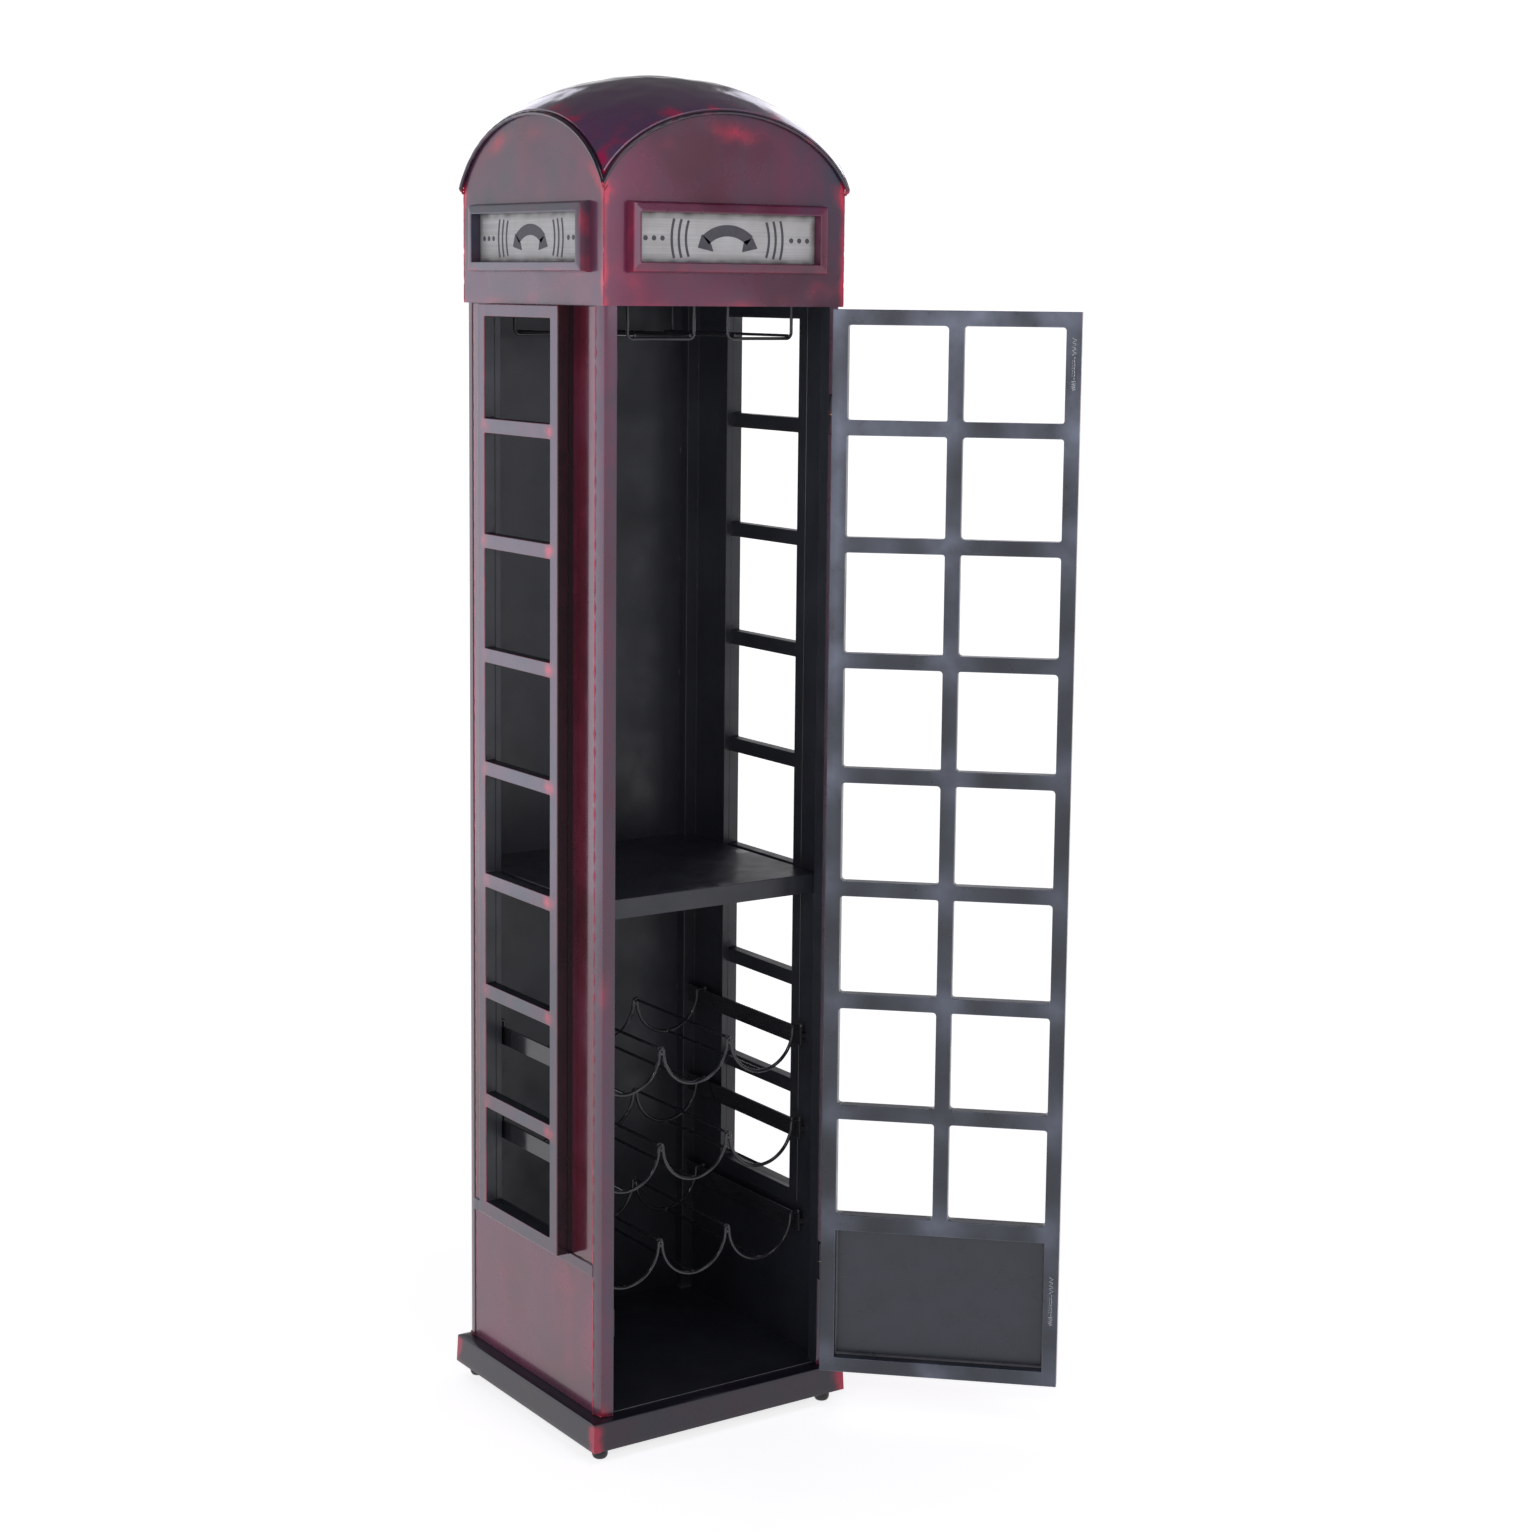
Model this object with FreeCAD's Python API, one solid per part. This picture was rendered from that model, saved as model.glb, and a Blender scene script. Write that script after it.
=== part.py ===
# Sheet-metal bar cabinet in the shape of a telephone booth, door hung on the front right post.
# Millimetres. Z up, front face towards -Y. Heights below are above the ground; the exported
# origin is the centre of the floor pan's top face.
import FreeCAD, Part
import math
import os

V = FreeCAD.Vector

# ---- driving dimensions -------------------------------------------------------------------
HALF = 190.0            # half of the square body
FOOT_H = 18.0           # ground to plinth
PLINTH_H = 41.0
PLINTH_SIDE = 18.0      # plinth overhang beyond the body, sides
PLINTH_FRONT = 14.0
PLINTH_REAR = 1.0
PAN_T = 1.2             # floor pan sheet
POST = 21.0             # square post across its flats
POST_R = 5.0            # radius of its outer corner
SHEET = 1.2             # panel sheet
TUBE_T = 1.2            # door and window tube wall
HEAD_Z = 1562.5         # underside of the head box
BELT_Z0, BELT_Z1 = 253.0, 269.0

ROOF_A, ROOF_B, ROOF_Z0 = 286.1, 205.9, 1667.6   # roof spheroid: radius, rise, centre height
EAVE = 196.6            # outer plane of the roof lip
LIP = 6.0               # lip thickness

WIN_HALF = 111.0        # half width of a side window
WIN_BAR = 20.5
WIN_FACE = 213.0        # outer plane of a side window
WIN_BACK = 187.2
WIN_TOP = 1562.0
PANE_TOP = 1545.0       # top edge of the highest window pane
PANE_H = 139.0
ROWS = 8

DOOR_AXIS = (171.0, -196.0)
DOOR_X0, DOOR_X1 = -167.5, 168.5    # free edge, hinge edge, door shut
DOOR_Y0, DOOR_Y1 = -190.0, -170.0   # outer face, inner face, door shut
DOOR_Z0, DOOR_Z1 = 61.7, 1560.0
DOOR_BAR = 21.0
DOOR_TOP_PANE = 128.5
DOOR_PANE = 138.8
DOOR_MUNTIN = 20.9
DOOR_LOCK = 23.0        # rail between panes and lower panel
DOOR_REST = 136.65      # degrees the door stands open in this file

SHELF_Z = 768.0
SHELF_LIP = 27.0
SHELF_FRONT = -155.0

RACK_Z = (538.0, 400.0, 262.5)      # height of the cradle centres, each tier
PITCH = 112.0           # bottle spacing
CRADLE_R = 53.0
CREST_R = 3.0
WIRE_R = 2.5
RACK_FRONT, RACK_REAR = -127.0, 125.0

SIGN_HALF, SIGN_Z0, SIGN_Z1 = 155.5, 1605.0, 1698.0
SIGN_BAR = 15.0
SIGN_OUT = 16.0

HINGE_Z = (214.5, 1416.5)           # middle of each hinge
HINGE_HALF = 25.0
BARREL_R = 5.0
PIN_R = 2.4

PLINTH_TOP = FOOT_H + PLINTH_H
ORIGIN_Z = PLINTH_TOP + PAN_T
FACE = HALF + 0.5       # outer plane of the head panels

nodes = {}


# ---- helpers ------------------------------------------------------------------------------
def box(x0, x1, y0, y1, z0, z1):
    return Part.makeBox(x1 - x0, y1 - y0, z1 - z0, V(x0, y0, z0))


def rod(p, q, r):
    p, q = V(*p), V(*q)
    return Part.makeCylinder(r, (q - p).Length, p, q - p)


def turned(shape, degrees, centre=(0, 0, 0)):
    copy = shape.copy()
    copy.rotate(V(*centre), V(0, 0, 1), degrees)
    return copy


def mirrored(shape):
    return shape.mirror(V(0, 0, 0), V(1, 0, 0))


def tube(x0, x1, y0, y1, z0, z1, along, t=TUBE_T):
    """Square tube with open ends, running along one axis."""
    lo, hi = [x0 + t, y0 + t, z0 + t], [x1 - t, y1 - t, z1 - t]
    i = "XYZ".index(along)
    lo[i], hi[i] = (x0, y0, z0)[i], (x1, y1, z1)[i]
    return box(x0, x1, y0, y1, z0, z1).cut(box(lo[0], hi[0], lo[1], hi[1], lo[2], hi[2]))


def capped(x0, x1, y0, y1, z0, z1, t=TUBE_T):
    """Upright square tube closed by a welded cap at each end."""
    return box(x0, x1, y0, y1, z0, z1).cut(box(x0 + t, x1 - t, y0 + t, y1 - t, z0 + t, z1 - t))


def arc(centre, u, v, r, a0, a1):
    """Arc edge in the plane of unit vectors u and v, angles in degrees."""
    def at(a):
        a = math.radians(a)
        return V(*centre) + V(*u) * (r * math.cos(a)) + V(*v) * (r * math.sin(a))
    return Part.Arc(at(a0), at((a0 + a1) / 2), at(a1)).toShape()


def wire_sweep(edges, r):
    path = Part.Wire(edges)
    start = path.OrderedVertexes[0].Point
    first = path.OrderedEdges[0]
    forward = first.tangentAt(first.FirstParameter)
    ring = Part.Wire([Part.Circle(start, forward, r).toShape()])
    return path.makePipeShell([ring], True, False)


def prism(points, direction):
    face = Part.Face(Part.makePolygon([V(*p) for p in points + points[:1]]))
    return face.extrude(V(*direction))


def spheroid(grow):
    """Solid of the roof's shape, grown by this much: a ball flattened along Z."""
    a, b = ROOF_A + grow, ROOF_B + grow
    squash = FreeCAD.Matrix()
    squash.scale(1, 1, b / a)
    squash.move(V(0, 0, ROOF_Z0))
    return Part.makeSphere(a).transformGeometry(squash)


# ---- base ---------------------------------------------------------------------------------
px, py0, py1 = HALF + PLINTH_SIDE, -HALF - PLINTH_FRONT, HALF + PLINTH_REAR
FLANGE, PT = 40.0, 2.0
z0, z1 = FOOT_H, PLINTH_TOP


def plinth_side(a, b, inward):
    """Folded angle from corner a to corner b, mitred, with its top flange turned inward."""
    a, b, n = V(*a, 0), V(*b, 0), V(*inward, 0)
    d = (b - a).normalize()
    out = None
    for depth, low, high in ((PT, z0, z1), (FLANGE, z1 - PT, z1)):
        pts = [a, b, b - d * depth + n * depth, a + d * depth + n * depth]
        part = prism([(p.x, p.y, low) for p in pts], (0, 0, high - low))
        out = part if out is None else out.fuse(part)
    return out.removeSplitter()


corners = [(-px, py0), (px, py0), (px, py1), (-px, py1)]
inward = [(0, 1), (-1, 0), (0, -1), (1, 0)]
nodes["plinth"] = Part.makeCompound(
    [plinth_side(corners[i], corners[(i + 1) % 4], inward[i]) for i in range(4)])

foot_profile = Part.Wire([
    Part.makeLine(V(0, 0, 0), V(6, 0, 0)),
    Part.Arc(V(6, 0, 0), V(9.8, 0, 2.6), V(11, 0, 7)).toShape(),
    Part.makeLine(V(11, 0, 7), V(11, 0, FOOT_H)),
    Part.makeLine(V(11, 0, FOOT_H), V(0, 0, FOOT_H)),
    Part.makeLine(V(0, 0, FOOT_H), V(0, 0, 0))])
foot = Part.Face(foot_profile).revolve(V(0, 0, 0), V(0, 0, 1), 360)
FOOT_INSET = 22.6
feet = []
for x in (-px + FOOT_INSET, px - FOOT_INSET):
    for y in (py0 + FOOT_INSET, py1 - FOOT_INSET):
        f = foot.copy()
        f.translate(V(x, y, 0))
        pad = box(x - 14, x + 14, y - 14, y + 14, FOOT_H, PLINTH_TOP - PT)
        feet.append(f.fuse(pad).removeSplitter())
nodes["feet"] = Part.makeCompound(feet)

pan_front, pan_side = -181.0, HALF - 2.7       # the pan lies between the walls
pan = box(-pan_side, pan_side, pan_front, pan_side, PLINTH_TOP, ORIGIN_Z)
for sx in (-1, 1):
    for y in (-HALF + POST / 2, HALF - POST / 2):
        x = sx * (HALF - POST / 2)
        pan = pan.cut(box(x - 10.7, x + 10.7, y - 10.7, y + 10.7, PLINTH_TOP - 1, ORIGIN_Z + 1))
nodes["floor_pan"] = pan

# ---- posts: square tubes with a rounded outer corner ----------------------------------------
BODY_Z0 = PLINTH_TOP


def post_section(inset):
    """Face of the rear right post's section, drawn in from its outline by inset."""
    lo, hi, r = HALF - POST + inset, HALF - inset, POST_R - inset
    return Part.Face(Part.Wire([
        Part.makeLine(V(lo, lo, 0), V(hi, lo, 0)),
        Part.makeLine(V(hi, lo, 0), V(hi, hi - r, 0)),
        arc((hi - r, hi - r, 0), (1, 0, 0), (0, 1, 0), r, 0, 90),
        Part.makeLine(V(hi - r, hi, 0), V(lo, hi, 0)),
        Part.makeLine(V(lo, hi, 0), V(lo, lo, 0))]))


post = post_section(0.0).cut(post_section(SHEET)).extrude(V(0, 0, HEAD_Z - BODY_Z0))
post.translate(V(0, 0, BODY_Z0))
for i, name in enumerate(("rear_right", "rear_left", "front_left", "front_right")):
    nodes["post_" + name] = turned(post, 90 * i)

# ---- side walls ---------------------------------------------------------------------------
IN = HALF - POST        # inner face of the posts
wall_out, wall_in = HALF - 1.4, HALF - 1.4 - SHEET
lower_right = box(wall_in, wall_out, -IN, IN, BODY_Z0, BELT_Z0)
belt_right = box(wall_in, HALF + 0.6, -IN, IN, BELT_Z0, BELT_Z1)
strips_right = Part.makeCompound([
    box(wall_in, wall_out, -IN, -WIN_HALF, BELT_Z1, HEAD_Z),
    box(wall_in, wall_out, WIN_HALF, IN, BELT_Z1, HEAD_Z)])

bars = [capped(WIN_BACK, WIN_FACE, s * (WIN_HALF - WIN_BAR / 2) - WIN_BAR / 2,
               s * (WIN_HALF - WIN_BAR / 2) + WIN_BAR / 2, BELT_Z1, WIN_TOP) for s in (-1, 1)]
clear = WIN_HALF - WIN_BAR
bottom_rail = BELT_Z1 + WIN_BAR
muntin = (PANE_TOP - bottom_rail - ROWS * PANE_H) / (ROWS - 1)
bars.append(tube(WIN_BACK, WIN_FACE, -clear, clear, PANE_TOP, WIN_TOP, "Y"))
bars.append(tube(WIN_BACK, WIN_FACE, -clear, clear, BELT_Z1, bottom_rail, "Y"))
for i in range(1, ROWS):
    top = PANE_TOP - i * (PANE_H + muntin) + muntin
    bars.append(tube(WIN_FACE - 17.0, WIN_FACE, -clear, clear, top - muntin, top, "Y"))
window_right = Part.makeCompound(bars)

for name, shape in (("lower_panel", lower_right), ("belt_rail", belt_right),
                    ("side_strips", strips_right), ("window", window_right)):
    nodes[name + "_right"] = shape
    nodes[name + "_left"] = mirrored(shape)
nodes["back_panel"] = box(-IN, IN, wall_in, wall_out, BODY_Z0, HEAD_Z)

# ---- head and roof ------------------------------------------------------------------------
under_roof = spheroid(-SHEET - 0.05)
front_head = prism([(-FACE, -FACE, HEAD_Z), (FACE, -FACE, HEAD_Z),
                    (FACE - SHEET, -FACE + SHEET, HEAD_Z), (-FACE + SHEET, -FACE + SHEET, HEAD_Z)],
                   (0, 0, 300)).common(under_roof.fuse(box(-250, 250, -250, 250, HEAD_Z, ROOF_Z0)))
front_head = front_head.removeSplitter()
for i, name in enumerate(("front", "right", "rear", "left")):
    nodes["head_" + name] = turned(front_head, 90 * i)

roof_plan = EAVE - LIP
nodes["roof"] = spheroid(0).cut(spheroid(-SHEET)).common(
    box(-roof_plan, roof_plan, -roof_plan, roof_plan, ROOF_Z0 + 20, ROOF_Z0 + 260))
wedge = prism([(0, 0, ROOF_Z0), (-300, -300, ROOF_Z0), (300, -300, ROOF_Z0)], (0, 0, 260))
lip = spheroid(0).cut(spheroid(-LIP)).common(
    box(-EAVE, EAVE, -EAVE, -roof_plan, ROOF_Z0, ROOF_Z0 + 260)).common(wedge)
for i, name in enumerate(("front", "right", "rear", "left")):
    nodes["roof_lip_" + name] = turned(lip, 90 * i)

nodes["ceiling"] = box(-FACE + SHEET, FACE - SHEET, -FACE + SHEET, FACE - SHEET,
                       HEAD_Z, HEAD_Z + SHEET)

# sign boxes: mitred frame standing out of the head, plate set back inside it
sign_outer = [(-SIGN_HALF, SIGN_Z0), (SIGN_HALF, SIGN_Z0), (SIGN_HALF, SIGN_Z1), (-SIGN_HALF, SIGN_Z1)]
sign_inner = [(x - math.copysign(SIGN_BAR, x), z + (SIGN_BAR if z == SIGN_Z0 else -SIGN_BAR))
              for x, z in sign_outer]
members = []
for i in range(4):
    j = (i + 1) % 4
    quad = [sign_outer[i], sign_outer[j], sign_inner[j], sign_inner[i]]
    members.append(prism([(x, -FACE - SIGN_OUT, z) for x, z in quad], (0, SIGN_OUT, 0)))
hollow = box(-SIGN_HALF + SHEET, SIGN_HALF - SHEET, -FACE - SIGN_OUT + SHEET, -FACE,
             SIGN_Z0 + SHEET, SIGN_Z1 - SHEET)
wall = SIGN_BAR - SHEET
hollow = hollow.cut(box(-SIGN_HALF + wall, SIGN_HALF - wall, -FACE - SIGN_OUT, -FACE,
                        SIGN_Z0 + wall, SIGN_Z1 - wall))
sign_frame = Part.makeCompound([m.cut(hollow) for m in members])
(x0, s0), (x1, s1) = sign_inner[0], sign_inner[2]
sign_plate = box(x0, x1, -FACE - 1.0, -FACE, s0, s1)
for i, name in ((0, "front"), (1, "right"), (3, "left")):
    nodes["sign_frame_" + name] = turned(sign_frame, 90 * i)
    nodes["sign_plate_" + name] = turned(sign_plate, 90 * i)

# ---- shelf --------------------------------------------------------------------------------
sx = wall_in - 0.2
tray = box(-sx, sx, SHELF_FRONT, sx, SHELF_Z - SHELF_LIP, SHELF_Z).cut(
    box(-sx + SHEET, sx - SHEET, SHELF_FRONT + SHEET, sx - SHEET,
        SHELF_Z - SHELF_LIP - 1, SHELF_Z - SHEET))
for s in (-1, 1):
    lo, hi = sorted((s * (IN - 0.2), s * 200))
    tray = tray.cut(box(lo, hi, IN - 0.2, 200, SHELF_Z - SHELF_LIP - 1, SHELF_Z + 1))
nodes["shelf"] = tray
cleats = []
for s in (-1, 1):
    for y in (-150.0, 126.0):
        lo, hi = sorted((s * (wall_in - 14), s * wall_in))
        z = SHELF_Z - SHELF_LIP
        cleats.append(box(lo, hi, y, y + 24, z - 2, z).fuse(
            box(*sorted((s * (wall_in - 2), s * wall_in)), y, y + 24, z - 14, z)).removeSplitter())
nodes["shelf_cleats"] = Part.makeCompound(cleats)

# ---- bottle rack --------------------------------------------------------------------------
BAR_X0, BAR_X1, BAR_H = 177.0, 180.0, 26.0
X, Z = (1, 0, 0), (0, 0, 1)


def scallop(y, zc):
    """One bent wire: three half-round cradles joined by small crests, ends laid on the bars."""
    end = PITCH + CRADLE_R
    edges = [Part.makeLine(V(-BAR_X1, y, zc + CREST_R), V(-end - CREST_R, y, zc + CREST_R)),
             arc((-end - CREST_R, y, zc), X, Z, CREST_R, 90, 0)]
    for i in (-1, 0, 1):
        edges.append(arc((i * PITCH, y, zc), X, Z, CRADLE_R, 180, 360))
        if i < 1:
            edges.append(arc(((i + 0.5) * PITCH, y, zc), X, Z, CREST_R, 180, 0))
    edges.append(arc((end + CREST_R, y, zc), X, Z, CREST_R, 180, 90))
    edges.append(Part.makeLine(V(end + CREST_R, y, zc + CREST_R), V(BAR_X1, y, zc + CREST_R)))
    return wire_sweep(edges, WIRE_R)


for tier, zc in zip(("top", "middle", "bottom"), RACK_Z):
    bar_top = zc + CREST_R - WIRE_R
    sides = []
    for s in (-1, 1):
        bar = box(*sorted((s * BAR_X0, s * BAR_X1)), RACK_FRONT - 3, IN, bar_top - BAR_H, bar_top)
        for y in (-135.0, 139.0):
            bar = bar.fuse(rod((s * BAR_X1, y + 10, bar_top - 13), (s * wall_in, y + 10, bar_top - 13), 5))
        sides.append(bar)
    nodes["rack_sides_" + tier] = Part.makeCompound(sides)
    nodes["rack_wires_" + tier] = Part.makeCompound([scallop(RACK_FRONT, zc), scallop(RACK_REAR, zc)])
    runners = [rod((i * PITCH, RACK_FRONT + WIRE_R, zc - CRADLE_R),
                   (i * PITCH, RACK_REAR - WIRE_R, zc - CRADLE_R), 2.0) for i in (-1, 0, 1)]
    runners += [rod((i * PITCH / 2, RACK_FRONT + WIRE_R, zc + CREST_R),
                    (i * PITCH / 2, RACK_REAR - WIRE_R, zc + CREST_R), 2.0) for i in (-1, 1)]
    nodes["rack_runners_" + tier] = Part.makeCompound(runners)

# ---- stemware racks -----------------------------------------------------------------------
STEM_X0, STEM_X1, STEM_Z, STEM_R, BEND = 27.0, 131.0, 1519.0, 2.2, 8.0


def hoop(y):
    lo, hi, z = STEM_X0, STEM_X1, STEM_Z
    return wire_sweep([
        Part.makeLine(V(lo, y, HEAD_Z), V(lo, y, z + BEND)),
        arc((lo + BEND, y, z + BEND), X, Z, BEND, 180, 270),
        Part.makeLine(V(lo + BEND, y, z), V(hi - BEND, y, z)),
        arc((hi - BEND, y, z + BEND), X, Z, BEND, 270, 360),
        Part.makeLine(V(hi, y, z + BEND), V(hi, y, HEAD_Z))], STEM_R)


stem_runners = [rod((x, -157, STEM_Z + STEM_R + 2), (x, 157, STEM_Z + STEM_R + 2), 2.0)
                for x in (STEM_X0 + BEND + 1, STEM_X1 - BEND - 1)]
stem_rack = Part.makeCompound([hoop(-152.0), hoop(152.0)] + stem_runners)
nodes["stem_rack_right"] = stem_rack
nodes["stem_rack_left"] = mirrored(stem_rack)

# ---- magnetic catches on the free-side post ------------------------------------------------
CATCH_Z = (181.0, 1485.0)
catches, catch_screws = [], []
for z in CATCH_Z:
    body = box(-IN, -IN + 14, -168.6, -150, z - 20, z + 20)
    for dz in (-15, 15):
        hole = rod((-IN + 9, -159, z + dz), (-IN + 15, -159, z + dz), 3.2)
        body = body.cut(hole)
        catch_screws.append(rod((-IN + 9, -159, z + dz), (-IN + 12, -159, z + dz), 3.2))
    catches.append(body)
nodes["catches"] = Part.makeCompound(catches)
nodes["catch_screws"] = Part.makeCompound(catch_screws)

# ---- hinges: post half with its pin -------------------------------------------------------
ax, ay = DOOR_AXIS
post_solid = post_section(0.0).extrude(V(0, 0, 1700))
post_solid = turned(post_solid, 270)
fixed_halves, washers = [], []
for z in HINGE_Z:
    barrel = rod((ax, ay, z - HINGE_HALF), (ax, ay, z - 0.5), BARREL_R)
    weld = box(ax + 1.5, ax + 9, ay + 3, -HALF + 4, z - HINGE_HALF + 2, z - 2.5).cut(post_solid)
    pin = rod((ax, ay, z - 1), (ax, ay, z + HINGE_HALF - 4), PIN_R)
    fixed_halves.append(barrel.fuse([weld, pin]).removeSplitter())
    washers.append(rod((ax, ay, z - 0.5), (ax, ay, z + 0.5), BARREL_R).cut(
        rod((ax, ay, z - 1), (ax, ay, z + 1), PIN_R + 0.02)))
nodes["hinge_post_halves"] = Part.makeCompound(fixed_halves)
nodes["hinge_washers"] = Part.makeCompound(washers)

# ---- door, drawn shut ---------------------------------------------------------------------
door = {}
zs = [DOOR_Z1 - DOOR_BAR]                   # pane tops, then pane bottoms
pane_rows = []
for i in range(ROWS):
    high = zs[-1]
    low = high - (DOOR_TOP_PANE if i == 0 else DOOR_PANE)
    pane_rows.append((low, high))
    zs.append(low - DOOR_MUNTIN)
lock_top = pane_rows[-1][0]
panel_top = lock_top - DOOR_LOCK
panel_bottom = DOOR_Z0 + DOOR_BAR
xa, xb = DOOR_X0 + DOOR_BAR, DOOR_X1 - DOOR_BAR
mid = (DOOR_X0 + DOOR_X1) / 2
ml, mr = mid - DOOR_BAR / 2, mid + DOOR_BAR / 2

door["door_frame"] = Part.makeCompound([
    capped(DOOR_X0, xa, DOOR_Y0, DOOR_Y1, DOOR_Z0, DOOR_Z1),
    capped(xb, DOOR_X1, DOOR_Y0, DOOR_Y1, DOOR_Z0, DOOR_Z1),
    tube(xa, xb, DOOR_Y0, DOOR_Y1, DOOR_Z1 - DOOR_BAR, DOOR_Z1, "X"),
    tube(xa, xb, DOOR_Y0, DOOR_Y1, panel_top, lock_top, "X"),
    tube(xa, xb, DOOR_Y0, DOOR_Y1, DOOR_Z0, panel_bottom, "X")])
MY0 = DOOR_Y0 + 2.0                         # muntins sit a little behind the outer face
grid = [tube(ml, mr, MY0, DOOR_Y1, lock_top, DOOR_Z1 - DOOR_BAR, "Z")]
for low, _ in pane_rows[:-1]:
    for a, b in ((xa, ml), (mr, xb)):
        grid.append(tube(a, b, MY0, DOOR_Y1, low - DOOR_MUNTIN, low, "X"))
door["door_muntins"] = Part.makeCompound(grid)
door["door_panel"] = box(xa, xb, DOOR_Y0 + 1.5, DOOR_Y0 + 1.5 + SHEET, panel_bottom, panel_top)

HX, HZ0, HZ1, BOW, HANDLE_R = -160.5, 962.0, 1062.0, 34.0, 5.0
hy = DOOR_Y0
bow = wire_sweep([
    Part.makeLine(V(HX, hy, HZ0), V(HX, hy - BOW + 16, HZ0)),
    Part.Arc(V(HX, hy - BOW + 16, HZ0), V(HX, hy - BOW + 4.7, HZ0 + 4.7),
             V(HX, hy - BOW, HZ0 + 16)).toShape(),
    Part.makeLine(V(HX, hy - BOW, HZ0 + 16), V(HX, hy - BOW, HZ1 - 16)),
    Part.Arc(V(HX, hy - BOW, HZ1 - 16), V(HX, hy - BOW + 4.7, HZ1 - 4.7),
             V(HX, hy - BOW + 16, HZ1)).toShape(),
    Part.makeLine(V(HX, hy - BOW + 16, HZ1), V(HX, hy, HZ1))], HANDLE_R)
door["door_handle"] = bow

door["strikes"] = Part.makeCompound([
    box(-162.0, -152.0, DOOR_Y1, DOOR_Y1 + 1.0, z - 18, z + 18) for z in CATCH_Z])
door_halves = []
for z in HINGE_Z:
    barrel = rod((ax, ay, z + 0.55), (ax, ay, z + HINGE_HALF), BARREL_R)
    weld = box(ax - 9, ax - 2.5, ay + 2.5, DOOR_Y0, z + 2.5, z + HINGE_HALF - 2)
    bore = rod((ax, ay, z - 1), (ax, ay, z + HINGE_HALF - 3.5), PIN_R + 0.05)
    door_halves.append(barrel.fuse(weld).cut(bore).removeSplitter())
door["hinge_door_halves"] = Part.makeCompound(door_halves)

for name, shape in door.items():
    nodes[name] = turned(shape, DOOR_REST, (ax, ay, 0))

# ---- export -------------------------------------------------------------------------------
os.makedirs("parts", exist_ok=True)
for name, shape in nodes.items():
    out = shape.copy()
    out.translate(V(0, 0, -ORIGIN_Z))
    out.exportStep("parts/" + name + ".step")
    print(name, len(out.Solids), round(out.Volume), out.isValid())
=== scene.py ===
import random
from math import cos, hypot, pi, radians, sin, sqrt, tan

import bmesh
import bpy
from mathutils import Matrix, Vector, noise


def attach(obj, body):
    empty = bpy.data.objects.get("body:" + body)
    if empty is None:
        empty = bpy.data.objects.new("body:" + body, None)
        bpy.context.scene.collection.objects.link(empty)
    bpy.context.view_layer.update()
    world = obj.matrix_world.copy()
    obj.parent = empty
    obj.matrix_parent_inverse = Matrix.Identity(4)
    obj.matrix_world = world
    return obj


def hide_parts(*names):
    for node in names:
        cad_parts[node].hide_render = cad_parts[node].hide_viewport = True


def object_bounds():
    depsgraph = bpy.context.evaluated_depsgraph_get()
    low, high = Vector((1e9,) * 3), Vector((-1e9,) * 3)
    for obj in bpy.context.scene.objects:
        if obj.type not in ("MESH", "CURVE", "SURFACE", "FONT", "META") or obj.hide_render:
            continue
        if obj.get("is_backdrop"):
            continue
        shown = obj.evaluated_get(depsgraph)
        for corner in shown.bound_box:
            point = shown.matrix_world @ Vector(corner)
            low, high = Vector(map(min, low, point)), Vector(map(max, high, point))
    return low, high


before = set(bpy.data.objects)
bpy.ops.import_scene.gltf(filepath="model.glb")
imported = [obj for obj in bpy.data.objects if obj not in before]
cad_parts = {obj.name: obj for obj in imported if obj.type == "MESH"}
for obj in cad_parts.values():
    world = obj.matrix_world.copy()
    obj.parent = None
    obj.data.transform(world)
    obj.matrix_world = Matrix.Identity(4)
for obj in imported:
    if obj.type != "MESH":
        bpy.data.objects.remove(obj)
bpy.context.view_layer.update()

# Everything below is drawn in millimetres, heights above the ground, door shut; place() brings it
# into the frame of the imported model, in metres, with the door standing open.
X, Y, Z = range(3)
GROUND = 60.2  # the floor pan's top above the ground
DOOR_AXIS, DOOR_REST = (171.0, -196.0), 136.65  # hinge line, degrees open at rest
HALF, POST, POST_R = 190.0, 21.0, 5.0  # body's half width, post's width and outer rounding
CORNER = HALF - POST  # the posts' inner faces
HEAD_Z, FACE, SEAM_TOP = 1562.5, 190.5, 1714.5  # head walls: lower edge, outer face, corner's top
WALL_OUT = 188.6  # outer face of the side sheets
BELT_Z0, BELT_Z1 = 253.0, 269.0
ROOF_A, ROOF_B, ROOF_Z0 = 286.1, 205.9, 1667.6  # the dome: half axes across and up, centre's height
LIP_R, LIP_Y = 3.0, 193.6  # rolled edge of the roof: radius, centre line
WIN_HALF, WIN_BAR, WIN_FACE, WIN_BACK, WIN_TOP = 111.0, 20.5, 213.0, 187.2, 1562.0
WIN_SPLIT = WIN_FACE - 17.0  # the grille lies in front of this, the surround behind
PANE_TOP, PANE_H, ROWS = 1545.0, 139.0, 8
PLINTH_Z0, PLINTH_Z1 = 18.0, 59.0
PLINTH_X, PLINTH_Y0, PLINTH_Y1 = 208.0, -204.0, 191.0
FOOT_IN = 22.6  # the feet's centres from the plinth's outer faces
DOOR_X0, DOOR_X1, DOOR_Y0, DOOR_Y1 = -167.5, 168.5, -190.0, -170.0
DOOR_Z0, DOOR_Z1, DOOR_BAR = 61.7, 1560.0, 21.0
DOOR_TOP_PANE, DOOR_PANE, DOOR_MUNTIN, DOOR_LOCK = 128.5, 138.8, 20.9, 23.0
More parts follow.
